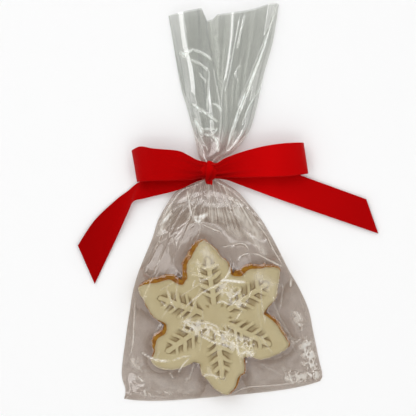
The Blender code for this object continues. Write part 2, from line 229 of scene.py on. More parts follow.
# an open sheet from rows of points, its face up unless flipped
def sheetObject(name, points, material, uvs=None, flip=False, tone=None):
    rows, columns = points.shape[:2]
    faces = sheetFaces(rows, columns)
    if flip:
        faces = [face[::-1] for face in faces]
    if uvs is not None:
        uvs = uvs.reshape(-1, 2)
    piece = meshObject(name, points.reshape(-1, 3) * mm, faces, material, uvs)
    if tone is not None:
        setAttribute(piece.data, "tone", tone.ravel())
    return piece


# a closed round solid from rings that run from its underside to its top
def discObject(name, rings, bottom, top, material):
    count, columns = rings.shape[:2]
    points = np.vstack([rings.reshape(-1, 3), [bottom], [top]]) * mm
    faces = sheetFaces(count, columns, wrap=True)
    lowPole = count * columns
    for i in range(columns):
        n = (i + 1) % columns
        faces.append((lowPole, n, i))
        faces.append((lowPole + 1, (count - 1) * columns + i, (count - 1) * columns + n))
    return meshObject(name, points, faces, material)


def dress(piece, node):
    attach(piece, "root")
    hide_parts(node)


def newMaterial(name):
    material = bpy.data.materials.new(name)
    material.use_nodes = True
    tree = material.node_tree
    return material, tree, tree.nodes["Principled BSDF"]


# an input that is given a socket is linked to it, any other input gets the value itself
def setInputs(tree, node, inputs):
    for name, value in inputs.items():
        if isinstance(value, bpy.types.NodeSocket):
            tree.links.new(value, node.inputs[name])
        else:
            node.inputs[name].default_value = value


def addNode(tree, kind, inputs=None, **settings):
    node = tree.nodes.new(kind)
    for name, value in settings.items():
        setattr(node, name, value)
    setInputs(tree, node, inputs or {})
    return node


def noiseNode(tree, place, scale, detail=3.0, roughness=0.55):
    inputs = {"Vector": place, "Scale": scale, "Detail": detail, "Roughness": roughness}
    return addNode(tree, "ShaderNodeTexNoise", inputs).outputs["Fac"]


# stops are (position, colour), or (position, number) for a grey
def rampNode(tree, value, stops):
    node = addNode(tree, "ShaderNodeValToRGB", {"Fac": value})
    ramp = node.color_ramp
    while len(ramp.elements) < len(stops):
        ramp.elements.new(0.5)
    for element, (position, colour) in zip(ramp.elements, stops):
        element.position = position
        element.color = (*colour, 1.0) if isinstance(colour, tuple) else (colour, colour, colour, 1.0)
    return node.outputs["Color"]


def bumpNode(tree, height, strength, distance):
    inputs = {"Height": height, "Strength": strength, "Distance": distance}
    return addNode(tree, "ShaderNodeBump", inputs).outputs["Normal"]


def rangeNode(tree, value, low, high):
    inputs = {"Value": value, "From Min": low, "From Max": high}
    return addNode(tree, "ShaderNodeMapRange", inputs).outputs["Result"]


def multiplyNode(tree, first, second):
    return addNode(tree, "ShaderNodeVectorMath", {0: first, 1: second}, operation="MULTIPLY").outputs[0]


def attributeNode(tree, name):
    return addNode(tree, "ShaderNodeAttribute", attribute_name=name).outputs["Fac"]


def splitNode(tree, vector):
    return addNode(tree, "ShaderNodeSeparateXYZ", {0: vector}).outputs


def coordinates(tree):
    return addNode(tree, "ShaderNodeTexCoord").outputs


# a node tree with named inputs, its start, and what a modifier gives each input
def newTree(name, inputs):
    tree = bpy.data.node_groups.new(name, "GeometryNodeTree")
    tree.interface.new_socket("Geometry", in_out="INPUT", socket_type="NodeSocketGeometry")
    values = {}
    for label, (kind, value) in inputs.items():
        socket = tree.interface.new_socket(label, in_out="INPUT", socket_type="NodeSocket" + kind)
        values[socket.identifier] = value
    tree.interface.new_socket("Geometry", in_out="OUTPUT", socket_type="NodeSocketGeometry")
    return tree, tree.nodes.new("NodeGroupInput").outputs, values


# makes the instances real, gives them their material and ends the tree
def endTree(tree, geometry, material=None):
    made = addNode(tree, "GeometryNodeRealizeInstances", {0: geometry}).outputs[0]
    if material:
        inputs = {"Geometry": made, "Material": material}
        made = addNode(tree, "GeometryNodeSetMaterial", inputs).outputs[0]
    addNode(tree, "NodeGroupOutput", {0: made})


# the plain mesh that a node tree makes of an object
def runTree(target, tree, values):
    modifier = target.modifiers.new("nodes", "NODES")
    modifier.node_group = tree
    for identifier, value in values.items():
        modifier[identifier] = value
    bpy.context.view_layer.update()
    made = bpy.data.meshes.new_from_object(target.evaluated_get(bpy.context.evaluated_depsgraph_get()))
    target.modifiers.remove(modifier)
    return made


def lineObject(name, points, edges):
    mesh = bpy.data.meshes.new(name)
    mesh.from_pydata([tuple(p) for p in points], edges, [])
    made = bpy.data.objects.new(name, mesh)
    bpy.context.scene.collection.objects.link(made)
    return made


filmLook = {
    "opacity": 0.31,
    "pouchShare": 0.62,  # the slack pouch mirrors less than the tight tuft
    "layersAndShadeOpacity": 0.6,  # where layers of film lie together, and where painted shade darkens the film near the biscuit and beside folds
    "creaseAndGlintOpacity": 0.9,  # hard creases turn white, and white marks along folds are painted highlights
    "pouchCreaseAndGlint": (0.95, 0.935, 0.89),
    "tuftCreaseAndGlint": (0.88, 0.94, 0.91),
    "faintGlintTint": (1.0, 0.965, 0.91),  # faint creases and faint painted highlights stay creamy
    "pouchThrough": (0.836, 0.804, 0.764),  # what each layer lets through; the pouch's is darker and warmer than clear film, painted shade inside the bag
    "tuftThrough": (0.975, 0.972, 0.952),
    # warm tint of the pouch's film, a painted reflection of the biscuit's brown
    "pouchColour": (0.26, 0.115, 0.09),
    "neckRedReflection": (0.48, 0.11, 0.11),  # painted reflection: the film picks up the ribbon's red there
    "tuftColour": (0.36, 0.40, 0.37),
    "tuftStart": 0.072,  # metres up the bag
    "tuftEnd": 0.120,
    "neckShares": (0.22, 0.6),  # between the pouch (0) and the tuft (1)
    "rippleScale": 260.0,
    "rippleBump": (0.08, 0.0004),  # strength and metres
    "roughness": 0.06,
    "ior": 3.2,
}


def makeFilm():
    material, tree, shader = newMaterial("clearFilm")
    place = coordinates(tree)["Object"]
    look = filmLook
    upBag = rangeNode(tree, splitNode(tree, place)["Y"], look["tuftStart"], look["tuftEnd"])
    tone = rangeNode(tree, attributeNode(tree, "tone"), -1.0, 1.0)
    neckFrom, neckTo = look["neckShares"]
    stops = (
        (0.0, look["pouchColour"]), (neckFrom, look["neckRedReflection"]),
        (neckTo, look["neckRedReflection"]), (1.0, look["tuftColour"]),
    )
    ripples = noiseNode(tree, place, look["rippleScale"], 2.0)
    setInputs(tree, shader, {
        "Base Color": rampNode(tree, upBag, stops),
        "Roughness": look["roughness"],
        "IOR": look["ior"],
        "Specular IOR Level": 1.0,
        "Normal": bumpNode(tree, ripples, *look["rippleBump"]),
    })
    through = rampNode(tree, upBag, ((0.4, look["pouchThrough"]), (1.0, look["tuftThrough"])))
    clear = addNode(tree, "ShaderNodeBsdfTransparent", {"Color": through})
    opacity = rampNode(tree, tone, ((0.0, look["layersAndShadeOpacity"]), (0.5, look["opacity"])))
    mirrored = rampNode(tree, upBag, ((0.3, look["pouchShare"]), (0.8, 1.0)))
    cover = multiplyNode(tree, opacity, mirrored)
    film = addNode(tree, "ShaderNodeMixShader", {"Fac": cover, 1: clear.outputs[0], 2: shader.outputs[0]})
    # white marks on the film: whitening of hard creases, and painted highlights where folds would glint
    crease = rampNode(tree, upBag, ((0.4, look["pouchCreaseAndGlint"]), (1.0, look["tuftCreaseAndGlint"])))
    tint = rampNode(tree, tone, ((0.72, look["faintGlintTint"]), (0.86, 1.0)))
    whiteAndGlint = addNode(tree, "ShaderNodeBsdfDiffuse", {"Color": multiplyNode(tree, crease, tint)})
    whiteAndGlintCover = rampNode(tree, tone, ((0.5, 0.0), (1.0, look["creaseAndGlintOpacity"])))
    whiteAndGlintMix = addNode(tree, "ShaderNodeMixShader", {"Fac": whiteAndGlintCover, 1: film.outputs[0], 2: whiteAndGlint.outputs[0]})
    setInputs(tree, tree.nodes["Material Output"], {"Surface": whiteAndGlintMix.outputs[0]})
    return material


icingLook = {
    "pocket": (0.38, 0.29, 0.14),  # the pressed parts, thin and shaded
    "face": (0.92, 0.875, 0.575),
    # painted highlight on the raised ridges
    "ridge": (0.97, 0.93, 0.62),
    "mottle": (0.92, 0.895, 0.84),
    "roughness": 0.5,
}


def makeIcing():
    material, tree, shader = newMaterial("ivoryIcing")
    place = coordinates(tree)["Object"]
    look = icingLook
    stops = ((0.0, look["ridge"]), (pattern["plainShade"], look["face"]), (1.0, look["pocket"]))
    # the pressed attribute holds painted shade in the pockets, their corners, the dents and near the rolled
    # edge, and painted highlight on the ridges
    colour = rampNode(tree, attributeNode(tree, "pressed"), stops)
    mottle = rampNode(tree, noiseNode(tree, place, 60.0, 4.0), ((0.34, look["mottle"]), (0.6, 1.0)))
    setInputs(tree, shader, {
        "Base Color": multiplyNode(tree, colour, mottle),
        "Roughness": look["roughness"],
        "Specular IOR Level": 0.35,
        "Normal": bumpNode(tree, noiseNode(tree, place, 1400.0), 0.15, 0.0003),
    })
    return material


doughLook = {
    "baked": (0.47, 0.19, 0.001),
    "golden": (0.60, 0.31, 0.004),
    "dark": (0.30, 0.11, 0.001),
    "crumbs": 600000.0,  # crumbs to a square metre of the side
    "crumbSize": (0.12, 0.34),
    "roughness": 0.85,
}


def makeDough():
    material, tree, shader = newMaterial("bakedDough")
    place = coordinates(tree)["Object"]
    look = doughLook
    stops = ((0.28, look["dark"]), (0.44, look["baked"]), (0.62, look["golden"]))
    setInputs(tree, shader, {
        "Base Color": rampNode(tree, noiseNode(tree, place, 320.0, 5.0, 0.6), stops),
        "Roughness": look["roughness"],
        "Specular IOR Level": 0.2,
        "Normal": bumpNode(tree, noiseNode(tree, place, 1900.0, 5.0, 0.7), 0.6, 0.0006),
    })
    return material


ribbonLook = {
    # painted light and shade on the satin's red from the left tail to the right one: darker on the left tail,
    # brightest on the right loop
    "paintedSatinLight": (
        (0.0, (0.31, 0.0006, 0.0010)), (0.2, (0.42, 0.0006, 0.0012)), (0.37, (0.45, 0.0008, 0.0014)),
        (0.435, (0.47, 0.0007, 0.0012)), (0.5, (0.45, 0.0008, 0.0014)), (0.66, (0.57, 0.0012, 0.0020)),
        (0.8, (0.46, 0.0010, 0.0016)), (1.0, (0.39, 0.0010, 0.0016)),
    ),
    "paintedSatinFrom": -0.080,
    "paintedSatinTo": 0.095,
    "gathered": (0.40, 0.36, 0.36),  # painted shade in the folds by the knot, on the knot's lower half and towards the lengths' lower edges
    "roughness": 0.42,
    "glint": (1.0, 0.03, 0.03, 1.0),
    "threads": 3.2,  # weft threads to a millimetre
}


def makeRibbon(name, threads):
    material, tree, shader = newMaterial(name)
    place = coordinates(tree)
    look = ribbonLook
    along = rangeNode(tree, splitNode(tree, place["Object"])["X"], look["paintedSatinFrom"], look["paintedSatinTo"])
    paintedSatinLight = rampNode(tree, along, look["paintedSatinLight"])
    shade = rampNode(tree, attributeNode(tree, "gathered"), ((0.0, 1.0), (1.0, look["gathered"])))
    setInputs(tree, shader, {
        "Base Color": multiplyNode(tree, paintedSatinLight, shade),
        "Roughness": look["roughness"],
        "Specular IOR Level": 0.3,
        "Specular Tint": look["glint"],
    })
    if threads:
        inputs = {"Vector": place["UV"], "Scale": look["threads"], "Distortion": 1.5, "Detail": 2.0}
        weave = addNode(tree, "ShaderNodeTexWave", inputs, bands_direction="X").outputs["Fac"]
        setInputs(tree, shader, {"Normal": bumpNode(tree, weave, 0.25, 0.00008)})
    return material


def buildRoom():
    eye = bpy.data.cameras.new("camera")
    eye.sensor_width = view["sensor"]
    eye.lens = view["lens"]
    eye.clip_start = 0.01
    camera = bpy.data.objects.new("camera", eye)
    camera.location = [value * mm for value in view["eye"]]
    bpy.context.scene.collection.objects.link(camera)
    bpy.context.scene.camera = camera

    sky = bpy.data.worlds.new("sky")
    sky.use_nodes = True
    tree = sky.node_tree
    direction = coordinates(tree)["Generated"]
    clouds = noiseNode(tree, direction, room["skyScale"], 2.0)
    shade = rampNode(tree, clouds, ((0.36, room["skyDark"]), (0.64, room["skyBright"])))
    rise = rampNode(tree, splitNode(tree, direction)["Z"], room["skyShares"])
    setInputs(tree, tree.nodes["Background"], {"Color": multiplyNode(tree, shade, rise), "Strength": 1.0})
    bpy.context.scene.world = sky

    for index, (turn, lean, distance, width, length, watts) in enumerate(room["lamps"]):
        reach = distance * mm
        turn = math.radians(turn)
        lean = math.radians(lean)
        light = bpy.data.lights.new(f"softbox{index}", "AREA")
        light.shape = "RECTANGLE"
        light.size = width * mm
        light.size_y = length * mm
        light.energy = watts
        holder = bpy.data.objects.new(f"softbox{index}", light)
        holder.location = (
            math.cos(turn) * math.sin(lean) * reach,
            math.sin(turn) * math.sin(lean) * reach + view["eye"][1] * mm,
            math.cos(lean) * reach,
        )
        holder.rotation_euler = (0.0, lean, turn)
        bpy.context.scene.collection.objects.link(holder)

    half = room["floorSize"] / 2.0
    drop = -room["floorDrop"]
    corners = np.array([(-half, -half, drop), (half, -half, drop), (half, half, drop), (-half, half, drop)])
    material, tree, shader = newMaterial("paleFloor")
    finish = {"Base Color": room["floorColour"], "Roughness": 0.9, "Specular IOR Level": 0.1}
    setInputs(tree, shader, finish)
    floor = meshObject("floor", corners * mm, [(0, 1, 2, 3)], material)
    bpy.context.scene.view_settings.view_transform = "Standard"
    bpy.context.scene.cycles.transparent_max_bounces = 64
    print("room: camera,", len(room["lamps"]), "softboxes and a floor")


biscuit = {
    "doughLow": 0.4,
    "doughTop": 8.4,
    "icingTop": 10.45,
    "doughSpokes": 480,
    "crags": (0.28, 0.13),  # height of the large and the small ones
    "icingSpokes": 760,
    "icingRings": 108,
    "icingRoll": 1.9,  # the icing's edge rolls over within this distance
    "icingRollDrop": 1.35,
    "icingSwell": 0.16,
    # the icing's uneven edge, arm by arm: (direction in degrees, millimetres from the middle)
    "outline": (
        (56, 31.0), (61, 28.9), (68, 28.3), (73, 32.0), (78, 35.8), (84, 37.9), (90, 43.0), (95, 46.3),
        (98, 47.9), (101, 47.4), (104, 45.2), (108, 42.3), (112, 39.6), (117, 37.5), (121, 33.8), (125, 29.9),
        (135, 28.2), (139, 32.0), (139.6, 35.5), (144, 38.7), (149, 41.3), (152, 44.5), (158, 50.4),
        (161, 50.5), (166, 46.4), (172, 42.4), (178, 39.3), (183, 35.8), (187, 31.6),
        (192, 30.7), (199, 32.8), (201, 37.8), (205, 40.8), (211, 43.7), (214, 47.6), (218, 48.7),
        (224, 47.1), (230, 43.5), (237, 38.6), (242, 34.4),
        (246, 31.3), (253, 31.3), (255, 34.1), (258, 37.3), (264, 40.2), (269, 44.5), (274, 47.4),
        (278, 49.3), (281, 48.9), (286, 46.2), (291, 41.1), (298, 39.2), (301, 36.6),
        (305, 32.0), (312, 33.7), (316, 38.6), (320, 41.2), (328, 45.4), (334, 48.6), (339, 49.8),
        (342, 47.7), (346, 43.8), (352, 39.7), (357, 35.8), (361, 32.3),
        (364, 31.0), (371, 34.7), (376, 39.6), (384, 43.4), (391, 47.4), (395, 49.9), (398, 49.6),
        (403, 45.3), (407, 41.1), (414, 36.2),
    ),
    # how far the baked edge shows past the icing: (direction, millimetres)
    "crust": (
        (20, 0.6), (34, 0.7), (37, 1.4), (44, 2.2), (52, 3.2), (58, 4.4), (64, 3.8), (70, 1.6), (78, 0.5),
        (94, 0.5), (98, 1.2), (102, 2.8), (110, 3.4), (120, 3.3), (130, 3.2), (138, 3.4), (146, 3.5),
        (152, 3.0), (156, 1.8), (159, 0.5), (164, 0.4), (172, 0.9), (184, 0.9), (190, 2.2), (197, 3.2),
        (204, 3.0), (209, 1.8), (214, 0.6), (225, 0.3), (245, 0.3), (262, 0.3), (274, 0.5), (279, 1.0),
        (285, 1.6), (298, 1.4), (304, 0.8), (318, 0.4), (334, 0.6), (341, 1.2), (347, 2.2), (356, 2.3),
        (362, 1.6), (368, 0.8),
    ),
}

pattern = {
    "centre": (0.9, -0.7),
    # direction of each arm in degrees and its size
    "arms": ((97.8, 1.0), (34.0, 1.03), (-26.5, 1.0), (-83.7, 1.0), (-145.5, 0.98), (160.5, 1.0)),
    "stemStart": 4.0,
    "stemEnd": 37.0,
    "stemWidth": 3.3,
    "branchWidth": 2.3,
    "branchAngle": 60.0,
    "branches": ((13.4, 7.6), (18.0, 8.6), (24.5, 7.4), (30.6, 5.4)),  # root and length
    # half the pressed width along an arm
    "leaf": (
        (8.5, 2.0), (12.0, 4.6), (17.2, 7.5), (22.3, 8.5), (28.2, 7.5), (33.3, 5.8), (36.5, 3.6), (39.0, 1.2),
    ),
    "pocketFade": (0.55, 0.56),  # where the pockets start to fade and how fast, as shares of it
    "ridgeFade": (0.95, 0.3),
    "ridgeShade": 0.0,
    "plainShade": 0.15,
    "depth": 1.3,
    "ridgeHeight": 0.3,
    "floorShade": 0.5,
    "cornerShade": 1.0,
    "edgeShade": 0.12,
    "unsteady": 0.35,  # how far the hand-pressed lines wander
    "wall": 0.45,
    "dentRadius": 9.0,
    "dentSize": 1.5,
    "dentDepth": 1.0,
    "dentShade": 0.7,
}


# distance from the middle at each direction, from a table that goes once round
def edgeRadius(table, directions, smooth=True):
    keys = np.array(table, float)
    turned = (directions - keys[0, 0]) % 360.0 + keys[0, 0]
    looped = np.vstack([keys[-2:] - (360, 0), keys, keys[:3] + (360, 0)])
    if not smooth:
        return np.interp(turned, looped[:, 0], looped[:, 1])
    steps = np.linspace(1.0, len(looped) - 2, len(looped) * 14)
    path = smoothPath(looped, steps)
    return np.interp(turned, path[:, 0], path[:, 1])


def biscuitEdge(directions, withCrust):
    radius = edgeRadius(biscuit["outline"], directions)
    around = np.radians(directions)
    radius = radius + 0.22 * ripple(radius * np.cos(around), radius * np.sin(around), 4.2, 12)
    if not withCrust:
        return radius
    even = np.arange(1440) * 0.25
    base = biscuitEdge(even, False)
    x = base * np.cos(np.radians(even))
    y = base * np.sin(np.radians(even))
    slopeX = np.roll(x, -6) - np.roll(x, 6)
    slopeY = np.roll(y, -6) - np.roll(y, 6)
    size = np.hypot(slopeX, slopeY)
    crust = edgeRadius(biscuit["crust"], even, smooth=False)
    crust = np.maximum(crust + 0.35 * ripple(x, y, 3.0, 13), 0.15)
    x = x + slopeY / size * crust
    y = y - slopeX / size * crust
    turned = np.degrees(np.arctan2(y, x)) % 360.0
    order = np.argsort(turned)
    outer = np.interp(directions % 360.0, turned[order], np.hypot(x, y)[order], period=360.0)
    return np.maximum(outer, radius + 0.1)


def edgeTree(withCrust, count=1440):
    directions = np.arange(count) * 360.0 / count
    radius = biscuitEdge(directions, withCrust)
    x = radius * np.cos(np.radians(directions))
    y = radius * np.sin(np.radians(directions))
    tree = kdtree.KDTree(count)
    for index in range(count):
        tree.insert((x[index], y[index], 0.0), index)
    tree.balance()
    return tree


# distance inside the edge, negative outside it
def edgeDepth(tree, x, y, withCrust):
    flat = [tree.find((px, py, 0.0))[2] for px, py in zip(x.ravel(), y.ravel())]
    distance = np.array(flat).reshape(x.shape)
    limit = biscuitEdge(np.degrees(np.arctan2(y, x)) % 360.0, withCrust)
    return np.where(np.hypot(x, y) < limit, distance, -distance)


# puts one arm's lines on each of the snowflake's points
def patternTree(arm):
    tree, start, values = newTree("snowflakeArms", {"Arm": ("Object", arm), "Size": ("Float", 1.0)})
    lines = addNode(tree, "GeometryNodeObjectInfo", {"Object": start["Arm"]}).outputs["Geometry"]
    turn, reach = [
        addNode(tree, "GeometryNodeInputNamedAttribute", {"Name": name}, data_type="FLOAT").outputs[0]
        for name in ("turn", "reach")
    ]
    spin = addNode(tree, "ShaderNodeCombineXYZ", {"Z": turn}).outputs[0]
    size = addNode(tree, "ShaderNodeMath", {0: reach, 1: start["Size"]}, operation="MULTIPLY").outputs[0]
    inputs = {"Points": start["Geometry"], "Instance": lines, "Rotation": spin, "Scale": size}
    endTree(tree, addNode(tree, "GeometryNodeInstanceOnPoints", inputs).outputs[0])
    return tree, values


# middle lines of the raised snowflake, as (start, end, half width) in millimetres
def patternLines():
    points = [(pattern["stemStart"], 0.0, 0.0), (pattern["stemEnd"], 0.0, 0.0)]
    edges = [(0, 1)]
    widths = [pattern["stemWidth"] / 2.0]
    opening = math.radians(pattern["branchAngle"])
    for root, length in pattern["branches"]:
        for side in (1.0, -1.0):
            points.append((root, 0.0, 0.0))
            points.append((root + length * math.cos(opening), side * length * math.sin(opening), 0.0))
            edges.append((len(points) - 2, len(points) - 1))
            widths.append(pattern["branchWidth"] / 2.0)
    arm = lineObject("snowflakeArm", points, edges)
    setAttribute(arm.data, "halfWidth", widths, "EDGE")
    middle = (*pattern["centre"], 0.0)
    hub = lineObject("snowflakeHub", [middle] * len(pattern["arms"]), [])
    turns = [math.radians(turn) for turn, _ in pattern["arms"]]
    setAttribute(hub.data, "turn", turns)
    setAttribute(hub.data, "reach", [size for _, size in pattern["arms"]])
    made = runTree(hub, *patternTree(arm))
    halfWidths = np.zeros(len(made.edges))
    made.attributes["halfWidth"].data.foreach_get("value", halfWidths)
    lines = []
    for edge, width in zip(made.edges, halfWidths):
        ends = [made.vertices[index].co for index in edge.vertices]
        lines.append((ends[0].xy[:], ends[1].xy[:], width))
    for leftover in (arm, hub):
        bpy.data.objects.remove(leftover, do_unlink=True)
    return lines


# 1 along the middle of an arm, and 0 outside the pressed width
def leafFade(across, leaf, start, width):
    fade = 1.0 - smoothStep((across - leaf * start) / (leaf * width + 1e-6))
    return np.where(leaf > 0.0, fade, 0.0)


# how deep the pockets of the pressed snowflake are, and how shaded they look
def pressedPattern(x, y):
    gap = np.full_like(x, 1e9)
    trueX = x
    x = x + pattern["unsteady"] * ripple(x, y, 6.0, 41)
    y = y + pattern["unsteady"] * ripple(trueX, y, 6.0, 42)
    for start, end, width in patternLines():
        distance, _ = lineDistance(x, y, start, end)
        gap = np.minimum(gap, distance - width)
    cx, cy = pattern["centre"]
    leafKeys = np.array(pattern["leaf"])
    share = np.zeros_like(x)
    raised = np.zeros_like(x)
    dents = np.zeros_like(x)
    for turn, size in pattern["arms"]:
        ax, ay = math.cos(math.radians(turn)), math.sin(math.radians(turn))
        along = ((x - cx) * ax + (y - cy) * ay) / size
        across = np.abs((y - cy) * ax - (x - cx) * ay) / size
        leaf = np.interp(along, leafKeys[:, 0], leafKeys[:, 1], left=0.0, right=0.0)
        share = np.maximum(share, leafFade(across, leaf, *pattern["pocketFade"]))
        raised = np.maximum(raised, leafFade(across, leaf, *pattern["ridgeFade"]))
        between = math.radians(turn + 30.0)
        dx = x - cx - pattern["dentRadius"] * math.cos(between)
        dy = y - cy - pattern["dentRadius"] * math.sin(between)
        out = np.abs(dx * math.cos(between) + dy * math.sin(between)) / 1.5
        side = np.abs(dy * math.cos(between) - dx * math.sin(between))
        dents = np.maximum(dents, smoothStep(1.0 - (out + side) / pattern["dentSize"]))
    pockets = smoothStep(gap / pattern["wall"]) * share
    # painted shade at the foot of each wall, in the pockets and the dents; painted highlight on the ridges
    corner = np.exp(-(((gap - 0.4) / 0.42) ** 2)) * share
    shade = np.maximum(pockets * pattern["floorShade"], corner * pattern["cornerShade"])
    shade = np.maximum(shade, dents * pattern["dentShade"])
    ridge = smoothStep(-gap / 0.5) * raised
    plain = pattern["plainShade"]
    shade = plain + (1.0 - plain) * shade - (plain - pattern["ridgeShade"]) * ridge
    depth = pockets * pattern["depth"] * (0.6 + 0.4 * np.exp(-((gap / 1.3) ** 2)))
    depth = np.maximum(depth, dents * pattern["dentDepth"]) - pattern["ridgeHeight"] * ridge
    return depth, shade


def buildIcing(material):
    spokes = biscuit["icingSpokes"]
    directions = np.arange(spokes) * 360.0 / spokes
    radius = biscuitEdge(directions, False)
    cosine = np.cos(np.radians(directions))
    sine = np.sin(np.radians(directions))
    shares = np.linspace(0.0, 1.0, biscuit["icingRings"] + 1)[1:] ** 0.92
    x = shares[:, None] * radius * cosine
    y = shares[:, None] * radius * sine
    depth = edgeDepth(edgeTree(False), x, y, False)
    depth = np.maximum(depth, 0.0)
    fall = 1.0 - np.clip(depth / biscuit["icingRoll"], 0.0, 1.0)
    drop = biscuit["icingRollDrop"] * (1.0 - np.sqrt(1.0 - fall ** 2))
    z = biscuit["icingTop"] - drop
    z += biscuit["icingSwell"] * ripple(x, y, 17.0, 5) * smoothStep(depth / 4.0)
    z += 0.05 * ripple(x, y, 4.5, 8)
    pressed, shade = pressedPattern(x, y)
    inner = smoothStep(depth / 2.5)
    z -= pressed * inner
    top = np.dstack([x, y, z])[::-1]
    low = biscuit["doughTop"] - 0.25
    under = [np.stack([x[-1] * s, y[-1] * s, np.full(spokes, low)], 1) for s in (0.3, 0.7, 0.965, 0.99)]
    side = []
    for lift, bulge in ((0.12, 1.004), (0.4, 1.008), (0.75, 1.005)):
        height = low + (z[-1] - low) * lift
        side.append(np.stack([x[-1] * bulge, y[-1] * bulge, height], 1))
    rings = np.concatenate([np.array(under), np.array(side), top])
    centreTop = (0.0, 0.0, float(z[0].mean()))
    print("icing: pressed pattern on", len(pattern["arms"]), "arms")
    piece = discObject("icingSheet", rings, (0.0, 0.0, low), centreTop, material)
    hidden = np.zeros((len(rings) - len(top)) * spokes)
    plain = pattern["plainShade"]
    # painted shade, darker towards the icing's rolled edge
    shade = plain + (shade - plain) * inner + pattern["edgeShade"] * (1.0 - smoothStep(depth / 2.8))
    values = np.concatenate([hidden + plain, shade[::-1].ravel(), [plain, plain]])
    setAttribute(piece.data, "pressed", values)
    return piece


# sticks crumbs to the upright faces of a mesh
def crumbTree(material):
    smallest, largest = doughLook["crumbSize"]
    tree, start, values = newTree("crumbs", {
        "Density": ("Float", doughLook["crumbs"]),
        "Smallest": ("Float", smallest * mm),
        "Largest": ("Float", largest * mm),
        "Seed": ("Int", 3),
    })
    rise = splitNode(tree, addNode(tree, "GeometryNodeInputNormal").outputs[0])["Z"]
    inputs = {"A": rise, "B": 0.0, "Epsilon": 0.8}
    upright = addNode(tree, "FunctionNodeCompare", inputs, operation="EQUAL").outputs["Result"]
    inputs = {name: start[name] for name in ("Density", "Seed")}
    inputs.update({"Mesh": start["Geometry"], "Selection": upright})
    scatter = addNode(tree, "GeometryNodeDistributePointsOnFaces", inputs).outputs
    crumb = addNode(tree, "GeometryNodeMeshIcoSphere", {"Radius": 1.0, "Subdivisions": 2}).outputs["Mesh"]
    inputs = {"Min": start["Smallest"], "Max": start["Largest"], "Seed": start["Seed"]}
    size = addNode(tree, "FunctionNodeRandomValue", inputs, data_type="FLOAT_VECTOR").outputs["Value"]
    inputs = {"Points": scatter["Points"], "Instance": crumb, "Rotation": scatter["Rotation"], "Scale": size}
    endTree(tree, addNode(tree, "GeometryNodeInstanceOnPoints", inputs).outputs[0], material)
    return tree, values


def buildCrumbs(dough, material):
    made = runTree(dough, *crumbTree(material))
    made.shade_smooth()
    crumbs = bpy.data.objects.new("doughCrumbs", made)
    bpy.context.scene.collection.objects.link(crumbs)
    print("crumbs:", len(made.polygons), "faces")
    return crumbs


def buildDough(material):
    spokes = biscuit["doughSpokes"]
    directions = np.arange(spokes) * 360.0 / spokes
    cosine = np.cos(np.radians(directions))
    sine = np.sin(np.radians(directions))
    radius = biscuitEdge(directions, True)
    low = biscuit["doughLow"]
    high = biscuit["doughTop"]
    # the side's section: (share of the radius, millimetres pulled in, share of the height)
    section = (
        (0.25, 0.0, 0.0), (0.5, 0.0, 0.0), (0.75, 0.0, 0.0), (0.92, 0.0, 0.0), (1.0, 1.5, 0.0),
        (1.0, 1.0, 0.03), (1.0, 0.6, 0.10), (1.0, 0.3, 0.20), (1.0, 0.12, 0.30), (1.0, 0.02, 0.40),
        (1.0, 0.0, 0.50), (1.0, 0.04, 0.60), (1.0, 0.12, 0.70), (1.0, 0.3, 0.80), (1.0, 0.55, 0.88),
        (1.0, 0.9, 0.95), (1.0, 1.4, 0.99), (1.0, 2.0, 1.0), (0.92, 0.0, 1.0), (0.75, 0.0, 1.0),
        (0.5, 0.0, 1.0), (0.25, 0.0, 1.0),
    )
    rings = []
    for share, pulled, height in section:
        edge = radius * share - pulled
        if share == 1.0:
            x = edge * cosine
            y = edge * sine
            large, small = biscuit["crags"]
            crag = large * ripple(x + height * 5.0, y - height * 7.0, 2.6, 21, 9)
            crag += small * ripple(x - height * 9.0, y + height * 11.0, 1.1, 22, 9)
            edge = edge + crag
        x = edge * cosine
        y = edge * sine
        z = np.full(spokes, low + (high - low) * height)
        if 0.0 < height < 1.0:
            z = z + 0.1 * ripple(x * 1.3, y * 1.3, 2.0, 23)
        rings.append(np.stack([x, y, z], 1))
    print("dough: baked edge round", len(biscuit["crust"]), "stretches")
    return discObject("biscuitDough", np.array(rings), (0.0, 0.0, low), (0.0, 0.0, high), material)


